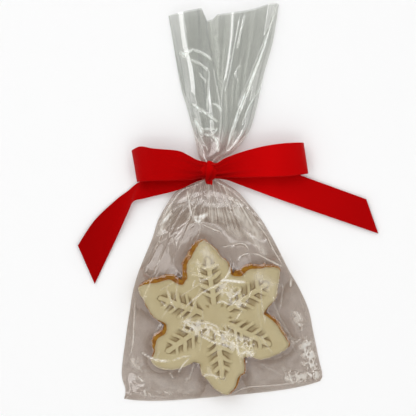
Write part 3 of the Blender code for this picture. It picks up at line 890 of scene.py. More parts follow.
bag = {
    # pairs of points on the left and right edges, from the hem to the mouth of the tuft
    "stations": (
        (-57.8, -53.4, 67.7, -42.1), (-57.0, -47.5, 69.0, -38.0), (-59.3, -36.7, 66.8, -28.0),
        (-56.8, -15.2, 63.2, -10.7), (-54.4, 1.5, 60.2, 3.5), (-52.2, 15.0, 54.2, 17.2),
        (-48.8, 27.0, 47.3, 29.4), (-43.9, 39.2, 41.2, 41.6), (-39.5, 49.8, 36.2, 50.9),
        (-36.0, 60.8, 30.0, 61.2), (-30.0, 71.6, 21.2, 72.0), (-23.6, 79.6, 15.2, 78.6),
        (-12.8, 84.8, 6.4, 84.8), (-8.2, 88.0, 1.8, 88.0), (-7.9, 93.0, 1.5, 93.0), (-8.2, 97.6, 1.8, 97.6),
        (-9.9, 100.6, 5.2, 100.4), (-11.0, 105.0, 12.4, 104.6), (-13.4, 117.0, 21.8, 116.8),
        (-18.0, 134.0, 26.8, 132.5), (-21.0, 144.0, 29.2, 143.4), (-23.6, 157.0, 32.2, 156.5),
        (-26.4, 174.0, 37.2, 174.5), (-29.4, 191.5, 41.3, 198.9),
    ),
    "neck": (13.0, 15.0),  # the stations under the ribbon
    "hemBow": 4.0,
    "hemStations": 3.0,
    "mouth": (
        (0.0, 0.0), (0.30, 1.8), (0.35, -6.4), (0.40, -6.0), (0.44, -3.2), (0.67, -2.9), (0.79, -2.0),
        (0.92, 0.5), (1.0, 0.0),
    ),
    "mouthStations": 1.2,
    "rows": (320, 14, 180),  # pouch, neck and tuft
    "columns": 296,
    "reach": 11.0,
    "pillow": 1.5,
    "clearance": 0.3,  # between the film and the icing
    "neckX": -3.2,
    "neckStart": 88.0,
    "neckEnd": 97.6,
    "neckZ": 4.9,
    "neckHalf": 3.5,
    "gatherStart": 58.0,
    "gatherEnd": 86.5,
    "mouthY": 195.0,
    # height of the tuft's upper film by share of the way across: two lobes with a valley between
    "tuftProfile": (
        (0.0, 0.0), (0.02, 1.3), (0.06, 3.2), (0.10, 4.6), (0.15, 5.6), (0.21, 6.0), (0.30, 5.4),
        (0.345, 4.9), (0.365, 4.5), (0.42, 4.5), (0.48, 5.0), (0.56, 5.8), (0.66, 6.4), (0.80, 6.3),
        (0.90, 5.5), (0.95, 4.2), (0.98, 2.2), (1.0, 0.0),
    ),
    "tuftSmoothing": 60,
    "lobeTaper": 0.2,
    "opening": 0.22,
}

crumple = {
    "fineCell": 2.3,
    "fineHeight": 0.7,
    "coarseCell": 9.0,
    "coarseHeight": 0.22,
    "pouchHub": 100.0,  # where the pouch's fine pleats meet, up the bag
    "pouchSpread": 36.0,
    "pouchFan": 0.04,
    "tuftHub": 82.0,
    "tuftSpread": 26.0,
    "tuftFan": 0.11,
    "veinGlints": 0.55,  # painted highlights on the small creases in crumpled places, partly crease whitening
    "veinWidth": 0.13,
    "facetGlints": 0.5,  # painted highlights on some of their small faces, standing in for glints
    "streakHub": 104.0,
    "pouchPaintedStreaks": (0.34, 0.36),  # share of painted light and of painted shade in fine streaks along the pleats that run to the neck
    "tuftPaintedStreaks": (0.16, 0.5),
    "mapPitch": 0.25,
    "creases": 70,
    "creaseSeed": 77,
    # crumpled places: (x, y) to (x, y), radius and strength
    "zones": (
        (-17, -5, 5, -11, 5.0, 1.0), (5, -11, 20, -20, 6.0, 1.0), (6, 19, 16, 10, 5.0, 0.9),
        (60, -20, 64, -38, 6.0, 1.3), (47, -38, 57, -40, 4.0, 1.0), (-50, -28, -46, -36, 4.0, 0.3),
        (-50, -38, -44, -48, 4.0, 0.3), (-38, -50, -16, -49, 3.0, 0.3), (-14, 64, -9, 62, 4.0, 0.4),
        (12, 71, 17, 65, 4.0, 0.35), (-35, 58, -30, 62, 3.0, 0.3), (52, 1, 55, -6, 3.5, 0.7),
        (-12, 32, 2, 34, 3.5, 0.4), (-3, -34, 4, -38, 3.5, 0.4), (48, -14, 55, -16, 2.5, 0.4),
    ),
}

# folds of the film: half width, height, half width and tone of the crease mark, and its line's points; a tone
# above 0 is crease whitening and painted highlight, below 0 painted shade
pouchFolds = (
    (1.2, 0.36, 0.75, 1.0, ((3.5, 21.9), (6.3, 23.1), (12.0, 22.6), (19.9, 21.9))),
    (0.9, 0.28, 0.4, 0.7, ((3.9, 21.1), (7.0, 25.0), (10.4, 29.3))),
    (0.9, 0.28, 0.36, 0.6, ((11.3, 39.1), (8.8, 27.6), (5.5, 22.6))),
    (0.9, 0.24, 0.4, 0.55, ((22.0, 40.7), (23.7, 33.3))),
    (1.0, 0.34, 0.45, 0.95, ((15.1, 34.9), (15.7, 37.2), (17.1, 38.4), (19.6, 39.4), (22.1, 39.8))),
    (1.0, 0.30, 0.42, 0.75, ((1.4, 43.9), (8.9, 44.6), (16.3, 46.0), (19.6, 45.0), (21.9, 41.8))),
    (1.0, 0.30, 0.42, 0.7, ((21.7, 39.8), (27.9, 39.0), (36.2, 34.8), (42.8, 31.5))),
    (0.9, 0.30, 0.45, 0.8, ((7.1, 16.1), (10.4, 12.0), (17.0, 17.8))),
    (0.9, 0.30, 0.4, 0.8, ((1.4, 8.7), (4.7, 10.0), (10.4, 7.9), (14.5, 12.0))),
    (1.1, 0.34, 0.5, 0.9, ((-20.2, -2.6), (-15.0, -5.2), (-10.9, -10.2))),
    (1.1, 0.34, 0.45, 0.7, ((-19.2, -2.8), (-8.5, -3.6), (-1.9, -4.4), (3.9, -7.7))),
    (1.1, 0.34, 0.45, 0.8, ((-10.1, -11.0), (-1.9, -15.1), (6.3, -17.6), (13.7, -20.0))),
    (1.0, 0.34, 0.5, 0.9, ((13.5, -16.6), (14.6, -19.5), (15.4, -23.3))),
    (1.0, 0.34, 0.6, 0.95, ((16.4, -23.4), (19.5, -22.0), (22.8, -23.3), (22.9, -25.4))),
    (1.2, 0.3, 0.9, 0.55, ((-14.0, -4.6), (-12.0, -8.0))),
    (
        1.2, 0.3, 0.9, 0.5,
        ((-8.5, -7.7), (-3.5, -6.1), (3.0, -11.0), (11.3, -11.0), (17.8, -13.5), (26.1, -13.5)),
    ),
    (0.9, 0.26, 0.36, 0.6, ((-19.2, 5.4), (-10.1, 13.7), (-1.9, 18.6), (5.5, 21.9))),
    (0.8, 0.22, 0.36, 0.5, ((-10.1, 22.7), (-1.9, 25.2))),
    (0.8, 0.22, 0.36, 0.55, ((-13.4, 18.6), (-13.1, 21.2), (-12.2, 23.5))),
    (0.9, 0.24, 0.4, 0.5, ((-8.5, 30.9), (-0.2, 32.6), (3.0, 33.4))),
    (0.8, 0.22, 0.36, 0.4, ((-30.7, 19.4), (-26.6, 8.7), (-24.1, 4.6))),
    (0.8, 0.22, 0.36, 0.4, ((-34.0, 10.4), (-29.8, 6.3))),
    (1.1, 0.36, 0.5, 0.95, ((-47.3, -22.4), (-41.5, -25.3), (-34.9, -27.0), (-27.5, -27.8))),
    (0.9, 0.28, 0.36, 0.6, ((-26.6, -27.4), (-20.0, -25.0), (-14.2, -24.1))),
    (0.9, 0.28, 0.4, 0.7, ((-15.9, -25.9), (-20.1, -30.4), (-23.0, -35.4))),
    (0.9, 0.28, 0.4, 0.65, ((-51.9, 13.7), (-50.6, 7.9), (-51.4, -3.8), (-51.9, -16.3), (-53.5, -25.4))),
    (1.0, 0.3, 1.6, 0.4, ((-52.6, -26.4), (-51.0, -31.3), (-47.4, -33.6))),
    (0.9, 0.3, 0.6, 0.8, ((-49.4, -38.8), (-47.2, -40.2), (-45.6, -42.2))),
    (0.9, 0.3, 0.6, 0.8, ((-44.8, -47.2), (-44.2, -49.7), (-44.0, -52.2))),
    (0.9, 0.3, 0.4, 0.6, ((-42.3, -48.8), (-40.7, -51.0), (-39.4, -53.0))),
    (0.8, 0.2, 0.8, 0.35, ((-18.5, -39.9), (-15.2, -39.1))),
    (0.9, 0.25, 0.6, 0.4, ((-32.7, -48.0), (-29.9, -49.6), (-26.9, -50.5))),
    (0.8, 0.2, 0.4, 0.4, ((-28.5, -34.5), (-27.4, -37.0), (-26.0, -39.5))),
    (1.0, 0.34, 0.5, 0.9, ((62.6, -19.9), (59.6, -22.8), (58.9, -25.5), (62.4, -28.0), (63.6, -31.3))),
    (1.0, 0.34, 0.5, 0.85, ((60.0, -23.8), (64.6, -25.5), (63.0, -31.3), (66.0, -34.5))),
    (0.9, 0.3, 0.5, 0.8, ((47.3, -36.3), (49.0, -41.3), (50.7, -44.2))),
    (0.9, 0.3, 0.4, 0.6, ((51.5, -36.8), (52.6, -41.0))),
    (0.9, 0.3, 0.4, 0.6, ((54.9, -36.3), (56.5, -41.2))),
    (0.9, 0.26, 0.4, 0.6, ((48.0, -14.4), (50.5, -16.5), (54.7, -14.8))),
    (0.9, 0.3, 0.5, 0.8, ((52.6, 1.6), (54.2, -0.6), (54.9, -2.4))),
    (0.9, 0.3, 0.5, 0.8, ((52.6, -4.0), (54.0, -5.6), (55.4, -6.4))),
    (0.9, 0.3, 0.5, 0.75, ((48.9, 24.4), (48.6, 21.0), (48.4, 18.4))),
    (1.0, 0.3, 0.36, 0.4, ((46.6, 30.4), (54.2, 16.4), (59.9, 4.5), (64.9, -18.9), (67.6, -34.0))),
    (1.0, 0.26, 0.36, 0.3, ((48.9, 26.3), (53.0, 17.0), (56.4, 8.0), (60.6, -8.7))),
    (
        0.6, 0.16, 0.36, 0.5,
        ((-54.0, -49.5), (-22.0, -53.2), (6.8, -49.9), (19.8, -45.6), (44.0, -44.0), (65.0, -38.9)),
    ),
    (0.9, 0.3, 0.5, 0.6, ((-6.8, -36.5), (-1.9, -36.1), (2.2, -38.1))),
    (1.0, 0.32, 0.45, 0.85, ((-17.2, 80.0), (-16.4, 75.0), (-15.6, 69.5), (-14.4, 63.5))),
    (1.2, 0.36, 1.2, 1.0, ((-13.6, 62.8), (-9.4, 62.8), (-3.6, 65.4))),
    (1.0, 0.32, 1.1, 0.95, ((-12.4, 61.8), (-10.4, 59.8), (-8.0, 61.6))),
    (1.0, 0.32, 1.0, 0.95, ((-36.0, 57.6), (-33.2, 59.6), (-30.6, 63.0))),
    (0.9, 0.3, 0.4, 0.6, ((-34.0, 58.6), (-30.4, 62.3), (-27.0, 68.0))),
    (1.2, 0.36, 1.1, 0.6, ((11.8, 72.6), (15.4, 71.4), (18.4, 69.6))),
    (1.0, 0.32, 0.45, 0.6, ((8.9, 67.1), (13.0, 64.8), (17.0, 61.4))),
    (1.0, 0.3, 0.4, 0.5, ((12.2, 69.0), (11.6, 66.2))),
    (2.4, 0.2, 2.4, 0.36, ((16.0, 56.5), (22.0, 51.0), (27.8, 44.9), (33.1, 38.0))),
    (1.1, 0.34, 0.4, 0.6, ((26.2, 60.2), (33.3, 50.9), (37.4, 42.7), (44.7, 29.7))),
    (0.9, 0.3, 0.36, 0.4, ((9.7, 85.8), (21.1, 72.8), (29.3, 61.4), (36.4, 48.4), (43.4, 34.5))),
    (1.0, 0.3, 0.4, 0.45, ((-26.1, 79.3), (-31.8, 68.5), (-36.6, 57.3), (-44.0, 39.1))),
    (0.9, 0.3, 0.36, 0.4, ((-33.8, 51.3), (-40.0, 38.0), (-46.6, 26.7))),
    (0.9, 0.28, 0.4, 0.45, ((-16.2, 55.0), (-14.4, 56.6), (-12.2, 58.2))),
    (0.9, 0.28, 0.36, 0.6, ((-8.1, 58.2), (-2.0, 55.6), (4.8, 53.0))),
    (0.9, 0.3, 0.4, 0.5, ((1.6, 82.5), (1.2, 77.0), (1.6, 71.8))),
    (0.9, 0.3, 0.4, 0.55, ((5.4, 83.5), (7.6, 77.6), (10.5, 71.8), (12.9, 66.9))),
    (0.9, 0.3, 0.4, 0.5, ((-17.5, 84.3), (-21.5, 81.8), (-25.2, 79.3))),
    (0.9, 0.3, 0.4, 0.45, ((-13.6, 83.5), (-15.6, 79.0), (-17.1, 74.4))),
    (0.9, 0.28, 0.4, 0.4, ((-9.0, 82.5), (-7.0, 76.0), (-4.8, 74.0))),
    (1.0, 0.24, 0.4, 0.2, ((-12.0, 80.0), (-24.0, 60.0), (-34.0, 38.0), (-43.0, 14.0))),
    (1.0, 0.24, 0.4, 0.2, ((-8.5, 79.0), (-16.8, 59.7), (-27.0, 34.3), (-32.7, 21.7))),
)

# soft patches, painted glare on the film above 0 and painted shade below it: half width, tone, and their
# line's points
pouchPaintedPatches = (
    (2.2, -0.9, ((-49.0, 22.0), (-40.0, 35.0), (-33.0, 44.0), (-26.0, 58.0))),
    (4.6, -0.9, ((-27.0, 22.0), (-25.0, 34.0), (-20.0, 48.0), (-15.0, 58.0))),
    (5.0, -0.8, ((-2.0, 50.0), (10.0, 43.0), (18.0, 37.0), (28.0, 35.0))),
    (5.0, -0.5, ((-50.0, 14.0), (-46.0, -4.0), (-44.0, -14.0), (-50.0, -26.0))),
    (4.6, 0.14, ((-9.0, 50.0), (-6.0, 42.0), (-3.0, 30.0))),
    (5.0, 0.12, ((22.0, 30.0), (32.0, 23.0), (40.0, 12.0))),
    (6.0, 0.16, ((-10.0, 68.0), (0.0, 68.0), (10.0, 66.0), (22.0, 58.0), (30.0, 48.0))),
    (4.0, 0.5, ((12.0, 69.0), (20.5, 60.0), (30.0, 48.0))),
    (4.2, 0.36, ((-6.0, 63.5), (4.0, 65.0), (14.0, 62.0))),
    (3.6, 0.34, ((8.0, 58.0), (13.0, 54.0), (18.0, 49.0))),
    (3.0, 0.16, ((-14.0, 80.0), (-4.0, 81.5), (8.0, 80.0))),
    (3.6, -0.8, ((-12.0, 74.5), (0.0, 75.0), (14.0, 72.0))),
    (1.6, 0.9, ((-34.5, 58.5), (-31.0, 61.5), (-27.0, 66.0))),
    (1.3, 0.8, ((-13.6, 62.0), (-9.5, 61.3), (-3.5, 65.5))),
    (4.0, 0.36, ((25.0, 28.0), (31.0, 22.5), (37.0, 18.0))),
    (4.0, -0.5, ((-46.0, 15.0), (-40.5, 16.0), (-34.0, 18.0))),
    (3.8, 0.46, ((-8.0, 44.0), (-3.5, 38.0), (-2.0, 30.0))),
    (3.0, 0.16, ((16.0, 66.0), (22.0, 60.0), (26.0, 54.0))),
    (4.0, 0.4, ((-27.0, 72.0), (-32.0, 61.0), (-37.0, 50.0))),
    (5.0, 0.10, ((-48.0, -36.0), (-36.0, -42.0), (-22.0, -44.0), (-8.0, -48.0))),
    (5.0, 0.06, ((22.0, -40.0), (36.0, -36.0), (46.0, -30.0))),
)

# folds of the tuft, laid out as the pouch's: tones above 0 are crease whitening and painted highlight, below
# 0 painted shade
tuftFolds = (
    (0.8, 0.24, 0.4, 0.3, ((-26.9, 191.2), (-21.6, 164.6), (-17.4, 141.5), (-13.0, 121.0))),
    (1.0, 0.30, 1.0, 0.95, ((-22.6, 168.2), (-20.2, 166.6), (-18.0, 166.0))),
    (1.0, 0.30, 0.5, 0.9, ((-22.9, 168.1), (-19.0, 166.9), (-16.0, 167.4), (-13.2, 168.8))),
    (1.0, 0.34, 0.5, 0.95, ((-14.2, 168.9), (-7.4, 166.2), (-1.2, 162.0))),
    (0.9, 0.28, 0.45, 0.8, ((-23.0, 167.3), (-20.6, 165.2), (-18.0, 164.0))),
    (1.0, 0.32, 0.55, 0.85, ((-15.5, 162.9), (-12.0, 161.0), (-8.7, 159.1), (-5.0, 156.1))),
    (0.9, 0.26, 0.5, 0.45, ((-9.9, 153.7), (-7.8, 150.6), (-5.7, 148.5))),
    (1.2, 0.38, 0.65, 1.0, ((-15.1, 135.2), (-6.7, 129.3), (2.3, 123.1))),
    (0.9, 0.30, 0.5, 0.9, ((-1.5, 134.8), (1.5, 133.9), (3.4, 132.3), (4.5, 129.2))),
    (0.9, 0.28, 0.6, 0.8, ((-4.7, 138.0), (-4.9, 134.0), (-5.2, 130.9))),
    (0.8, 0.22, 0.32, 0.5, ((-3.8, 156.0), (-4.3, 147.0), (-4.6, 139.0))),
    (1.1, 0.34, 1.2, 0.9, ((-12.9, 126.0), (-10.9, 121.4), (-9.4, 118.4), (-7.0, 115.6))),
    (1.0, 0.30, 0.55, 0.9, ((-8.2, 118.2), (-3.5, 118.7), (1.0, 118.7))),
    (1.0, 0.30, 0.5, 0.85, ((-7.3, 116.0), (-3.4, 114.6), (0.0, 116.4), (2.1, 119.6))),
    (1.1, 0.34, 1.0, 0.9, ((-1.9, 114.6), (1.0, 111.9), (2.1, 108.4), (2.1, 103.7))),
    (0.8, 0.24, 0.36, 0.6, ((-12.5, 115.4), (-9.3, 109.9), (-6.5, 104.4))),
    (0.8, 0.24, 0.36, 0.5, ((-9.9, 115.8), (-6.7, 110.0), (-3.9, 104.4))),
    (0.8, 0.2, 0.32, 0.45, ((-0.9, 160.2), (1.2, 148.4), (3.2, 138.4), (4.5, 129.7))),
    (0.8, 0.2, 0.36, 0.35, ((6.9, 151.5), (5.0, 139.1), (4.3, 122.9), (2.4, 104.7))),
    (0.8, 0.2, 0.5, -0.55, ((17.1, 193.9), (13.6, 174.5), (10.1, 155.1), (6.9, 141.7))),
    (0.8, 0.22, 0.8, 0.3, ((19.6, 192.9), (16.8, 181.0), (14.2, 168.3))),
    (0.8, 0.22, 0.5, 0.4, ((17.4, 159.9), (14.0, 155.8), (13.3, 152.3), (15.3, 147.5))),
    (
        1.0, 0.32, 0.55, 0.9,
        ((41.4, 203.0), (30.2, 168.1), (21.1, 144.9), (14.6, 128.0), (10.1, 114.4), (7.3, 103.7)),
    ),
    (1.0, 0.30, 0.45, 0.65, ((31.2, 168.1), (26.3, 155.2), (19.8, 138.4), (13.3, 122.9), (8.8, 107.6))),
    (0.8, 0.2, 0.5, -0.4, ((38.0, 190.0), (28.2, 168.0), (19.2, 145.0), (12.6, 128.0))),
    (1.0, 0.30, 0.5, 0.85, ((29.9, 144.7), (25.7, 139.3), (21.8, 132.7), (17.0, 121.3))),
    (0.8, 0.24, 0.6, 0.7, ((33.9, 156.6), (30.0, 147.8), (27.7, 141.6))),
    (0.8, 0.24, 0.5, 0.65, ((21.6, 116.2), (16.0, 110.0), (10.0, 103.9))),
    (0.8, 0.24, 0.45, 0.5, ((13.8, 117.5), (12.0, 113.5), (10.4, 109.0))),
    (0.8, 0.2, 0.8, 0.35, ((40.6, 192.5), (38.9, 179.5), (36.4, 169.0), (33.6, 160.0))),
)

# soft patches on the tuft, laid out as the pouch's: painted light above 0, painted shade below it
tuftPaintedPatches = (
    (0.6, -0.6, ((-6.4, 199.0), (-4.6, 180.0), (-1.4, 164.0), (2.2, 146.0), (4.4, 131.0))),
    (1.9, -0.6, ((-27.2, 196.0), (-24.0, 176.0), (-20.4, 158.0), (-17.0, 140.0), (-14.0, 124.0))),
    (4.5, -0.36, ((-12.0, 200.0), (-10.5, 180.0), (-7.5, 158.0), (-6.0, 140.0), (-5.0, 128.0))),
    (3.0, 0.26, ((-1.5, 198.0), (1.0, 172.0), (4.0, 152.0), (6.0, 130.0))),
    (3.0, 0.12, ((27.0, 204.0), (22.0, 176.0), (15.0, 150.0), (10.0, 130.0))),
    (1.6, 0.14, ((8.6, 200.0), (8.2, 180.0), (6.0, 160.0))),
    (2.2, -0.12, ((21.5, 204.0), (17.5, 176.0), (11.0, 150.0))),
    (0.7, -0.5, ((42.0, 204.0), (41.0, 184.0), (35.4, 163.0), (31.4, 150.0))),
    (2.4, -0.35, ((29.0, 142.0), (24.0, 126.0), (18.0, 112.0))),
)

# pleats pressed flat in the tuft: half width, slope across, and their line's points
tuftBands = (
    (1.25, 0.238, ((-22.2, 195.0), (-19.0, 171.4), (-15.1, 158.4), (-13.5, 144.9), (-14.4, 139.0))),
    (0.75, 0.276, ((11.7, 195.0), (10.7, 177.7), (8.5, 160.2), (6.3, 147.6))),
    (0.5, -0.215, ((39.2, 197.0), (31.6, 170.0), (22.0, 144.9), (16.0, 128.0))),
)


# points of the bag from above, by station and by share of the way across
def bagPlan(positions, shares):
    edges = smoothPath(bag["stations"], positions)
    left = edges[:, None, :2]
    right = edges[:, None, 2:]
    point = left + (right - left) * shares[..., None]
    last = len(bag["stations"]) - 1
    hem = np.clip(1.0 - positions / bag["hemStations"], 0.0, 1.0) ** 2
    point[..., 1] -= bag["hemBow"] * hem[:, None] * (1.0 - (2.0 * shares - 1.0) ** 4)
    mouth = np.clip(1.0 - (last - positions) / bag["mouthStations"], 0.0, 1.0) ** 2
    keys = np.array(bag["mouth"])
    point[..., 1] += mouth[:, None] * np.interp(shares, keys[:, 0], keys[:, 1])
    return point


# the upper film laid over the biscuit, pulled down round it and held at the rim
def stretchFilm():
    sheet = HeightMap(1.0, (-66.0, -62.0), (76.0, 97.0))
    edges = smoothPath(bag["stations"], np.linspace(0.0, bag["neck"][1], 160))
    leftX = np.interp(sheet.y, edges[:, 1], edges[:, 0])
    rightX = np.interp(sheet.y, edges[:, 3], edges[:, 2])
    first = bag["stations"][0]
    share = np.clip((sheet.x - first[0]) / (first[2] - first[0]), 0.0, 1.0)
    hemY = first[1] + (first[3] - first[1]) * share
    hemY = hemY - bag["hemBow"] * (1.0 - (2.0 * share - 1.0) ** 4)
    inBag = (sheet.x > leftX) & (sheet.x < rightX) & (sheet.y > hemY)
    depth = edgeDepth(edgeTree(True), sheet.x, sheet.y, True)
    top = biscuit["icingTop"] + bag["clearance"]
    obstacle = np.where(inBag, top * smoothStep(depth / 1.6 + 1.0), 0.0)
    pull = (sheet.pitch / bag["reach"]) ** 2 / 4.0
    z = obstacle.copy()
    for _ in range(1500):
        mean = np.zeros_like(z)
        mean[1:-1, 1:-1] = (z[2:, 1:-1] + z[:-2, 1:-1] + z[1:-1, 2:] + z[1:-1, :-2]) / 4.0
        z = np.where(inBag, np.maximum((mean + pull * bag["pillow"]) / (1.0 + pull), obstacle), 0.0)
    sheet.z = z
    return sheet


def zoneStrength(x, y):
    strength = np.zeros_like(x)
    for x0, y0, x1, y1, radius, weight in crumple["zones"]:
        distance, _ = lineDistance(x, y, (x0, y0), (x1, y1))
        strength = np.maximum(strength, weight * smoothStep(1.4 - distance / radius))
    return strength


# crumpled facets drawn out along lines that meet at the neck
def fanFacets(facets, x, y, hub, spread):
    dx = x - bag["neckX"]
    dy = y - hub
    distance = np.hypot(dx, dy)
    height = facets.read(np.arctan2(dx, np.abs(dy)) * spread, distance * 0.2)
    return height * np.clip(distance / 30.0, 0.0, 1.0)


# adds painted light and painted shade in fine streaks
def addStreaks(tone, streaks, gap, shares):
    pale, layersAndShade = shares
    tone = tone + np.clip(streaks - gap, 0.0, 1.0) * pale + np.clip(streaks + gap, -1.0, 0.0) * layersAndShade
    return np.clip(tone, -1.0, 1.0)


# soft patches as folds without height
def asFolds(patches):
    return tuple((1.0, 0.0, *patch) for patch in patches)


# faint straight creases that mostly run towards the neck
def strayCreases():
    draw = np.random.default_rng(crumple["creaseSeed"])
    creases = []
    for _ in range(crumple["creases"]):
        startX = draw.uniform(-54.0, 58.0)
        startY = draw.uniform(-48.0, 72.0)
        turn = math.atan2(bag["neckStart"] - startY, bag["neckX"] - startX) + draw.normal(0.0, 0.45)
        length = draw.uniform(8.0, 34.0)
        bend = draw.uniform(-0.12, 0.12)
        middle = (
            startX + math.cos(turn + bend) * length / 2.0,
            startY + math.sin(turn + bend) * length / 2.0,
        )
        end = (startX + math.cos(turn) * length, startY + math.sin(turn) * length)
        width = draw.uniform(0.6, 1.1)
        height = width * draw.uniform(0.08, 0.28)
        creases.append((width, height, 0.36, draw.uniform(0.0, 0.32), ((startX, startY), middle, end)))
    return creases


# lays a strip along a line flat, at a set slope across it
def pressBand(x, y, z, band):
    half, slope, line = band
    keys = np.array(line)[::-1]
    middle = np.interp(y, keys[:, 1], keys[:, 0])
    height = np.zeros_like(z)
    for row in range(len(z)):
        height[row] = np.interp(middle[row].mean(), x[row], z[row])
    away = np.abs(x - middle) / half
    share = smoothStep((1.6 - away) / 0.5)
    share = share * smoothStep((y - keys[0, 1]) / 4.0) * smoothStep((keys[-1, 1] - y) / 3.0)
    return z + share * (height + slope * (x - middle) - z)


# height and tone of the pouch's upper film
def pouchSurface(x, y, gather, rimFade, fine, coarse):
    zones = zoneStrength(x, y)
    relief = crumple["coarseHeight"] * coarse.read(x, y) * (1.0 - 0.5 * gather)
    relief += crumple["fineHeight"] * fine.read(x, y) * zones
    folds = pouchFolds + asFolds(pouchPaintedPatches) + tuple(strayCreases())
    foldHeight, foldTone = foldMarks(x, y, folds)
    relief += foldHeight
    veinGlints = np.exp(-((fine.read(x + 3.1, y + 1.7) / crumple["veinWidth"]) ** 2))
    facetGlints = smoothStep((fine.read(x + 11.3, y - 6.1) - 0.22) / 0.12) * crumple["facetGlints"]
    tone = np.maximum(foldTone, np.maximum(veinGlints * crumple["veinGlints"], facetGlints) * zones)
    pleatFade = smoothStep((y - 20.0) / 45.0)
    pleats = fanFacets(fine, x, y, crumple["pouchHub"], crumple["pouchSpread"])
    relief += pleats * pleatFade * crumple["pouchFan"]
    dx = x - bag["neckX"]
    dy = y - crumple["streakHub"]
    streaks = ripple(np.arctan2(dx, np.abs(dy)) * 60.0, np.hypot(dx, dy) * 0.05, 2.4, 71, 12)
    streaks = streaks * smoothStep((y - 42.0) / 30.0)
    tone = addStreaks(tone, streaks, 0.1, crumple["pouchPaintedStreaks"])
    relief += crumple["coarseHeight"]
    return stretchFilm().read(x, y) + 0.35 + np.maximum(relief, 0.0) * rimFade, tone * rimFade


# heights of the tuft's upper and lower film, and the upper one's tone
def tuftSurface(x, y, shares, width, rise, fine, coarse):
    keys = np.array(bag["tuftProfile"])
    fineShare = np.linspace(0.0, 1.0, 401)
    profile = np.interp(fineShare, keys[:, 0], keys[:, 1])
    for _ in range(bag["tuftSmoothing"]):
        profile[1:-1] = (profile[2:] + profile[:-2] + 2.0 * profile[1:-1]) / 4.0
    body = np.interp(shares, fineShare, profile) * (1.0 - bag["lobeTaper"] * rise)
    body = body * np.minimum(width / 42.0, 1.0) ** 0.6
    pleats, tone = foldMarks(x, y, tuftFolds + asFolds(tuftPaintedPatches))
    streaks = ripple(shares * 62.0, y * 0.03, 2.6, 72, 14)
    tone = addStreaks(tone, streaks, 0.2, crumple["tuftPaintedStreaks"])
    pleats += crumple["coarseHeight"] * 0.3 * (coarse.read(x, y) + 1.0)
    nearNeck = 1.0 - smoothStep((y - 102.0) / 14.0)
    fan = fanFacets(fine, x, y, crumple["tuftHub"], crumple["tuftSpread"])
    pleats += (fan + 0.6) * nearNeck * crumple["tuftFan"]
    arch = np.sin(math.pi * np.clip(shares, 0.0, 1.0)) ** 0.5
    top = 1.3 + body + pleats * np.minimum(arch * 2.0, 1.0)
    for band in tuftBands:
        top = pressBand(x, y, top, band)
    low = 0.12 * (1.0 - np.cos(math.tau * 3.0 * shares)) + 0.15
    return top, low, tone


def buildFilm(material):
    pouchRows, neckRows, tuftRows = bag["rows"]
    last = len(bag["stations"]) - 1.0
    positions = np.concatenate([
        np.linspace(0.0, bag["neck"][0], pouchRows, endpoint=False),
        np.linspace(bag["neck"][0], bag["neck"][1], neckRows, endpoint=False),
        np.linspace(bag["neck"][1], last, tuftRows + 1),
    ])
    even = np.linspace(0.0, 1.0, bag["columns"] + 1)
    rounded = (1.0 - np.cos(math.pi * even)) / 2.0
    middle = sum(bag["neck"]) / 2.0
    nearNeck = np.exp(-(((positions - middle) / 1.6) ** 2))
    shares = even[None, :] + (rounded - even)[None, :] * nearNeck[:, None]
    plan = bagPlan(positions, shares)
    x = plan[..., 0]
    y = plan[..., 1]
    width = np.abs(x[:, -1:] - x[:, :1])
    fine = facetMap(crumple["fineCell"], 31, crumple["mapPitch"])
    coarse = facetMap(crumple["coarseCell"], 32, crumple["mapPitch"])

    gather = smoothStep((y - bag["gatherStart"]) / (bag["gatherEnd"] - bag["gatherStart"]))
    rim = np.minimum(np.minimum(shares, 1.0 - shares) * width, positions[:, None] * 5.0)
    rimFade = smoothStep(rim / 4.0)
    pouchTop, pouchTone = pouchSurface(x, y, gather, rimFade, fine, coarse)
    rumple = 0.12 * np.maximum(coarse.read(y * 0.4, x * 1.2 + 60.0), 0.0)
    pouchLow = 0.05 + 0.3 * (1.0 - rimFade) + rumple * rimFade
    rise = np.clip((y - bag["neckEnd"]) / (bag["mouthY"] - bag["neckEnd"]), 0.0, 1.2)
    tuftTop, tuftLow, tuftTone = tuftSurface(x, y, shares, width, rise, fine, coarse)

    # the pouch closes to the neck below the ribbon, and the tuft opens above it
    swell = np.maximum(bag["neckHalf"] * np.sqrt(np.clip(1.0 - (2.0 * shares - 1.0) ** 2, 0.0, 1.0)), 0.02)
    neckTop = bag["neckZ"] + swell
    neckLow = bag["neckZ"] - swell
    opening = smoothStep(rise / bag["opening"])
    tuftTop = neckTop + (tuftTop - neckTop) * opening
    tuftLow = neckLow + (tuftLow - neckLow) * opening
    pouchTop = pouchTop + (neckTop - pouchTop) * gather
    pouchLow = pouchLow + (neckLow - pouchLow) * smoothStep(gather * 1.6 - 0.6)
    inPouch = y < bag["neckStart"]
    inTuft = y >= bag["neckEnd"]
    frontZ = np.where(inPouch, pouchTop, np.where(inTuft, tuftTop, neckTop))
    backZ = np.where(inPouch, pouchLow, np.where(inTuft, tuftLow, neckLow))
    for edge in (0, -1):
        frontZ[:, edge] = backZ[:, edge]
    tone = np.where(inPouch, pouchTone, np.where(inTuft, tuftTone, 0.0))
    front = np.stack([x, y, frontZ], 2)
    back = np.stack([x, y, backZ], 2)[:, ::2]
    seam = pouchRows + neckRows // 2  # hidden under the ribbon
    print("film: stretched over the biscuit and crumpled")
    return (
        sheetObject("pouchFront", front[: seam + 1], material, tone=tone[: seam + 1]),
        sheetObject("tuftFront", front[seam:], material, tone=tone[seam:]),
        sheetObject("filmBack", back, material, flip=True, tone=np.zeros(back.shape[:2])),
    )


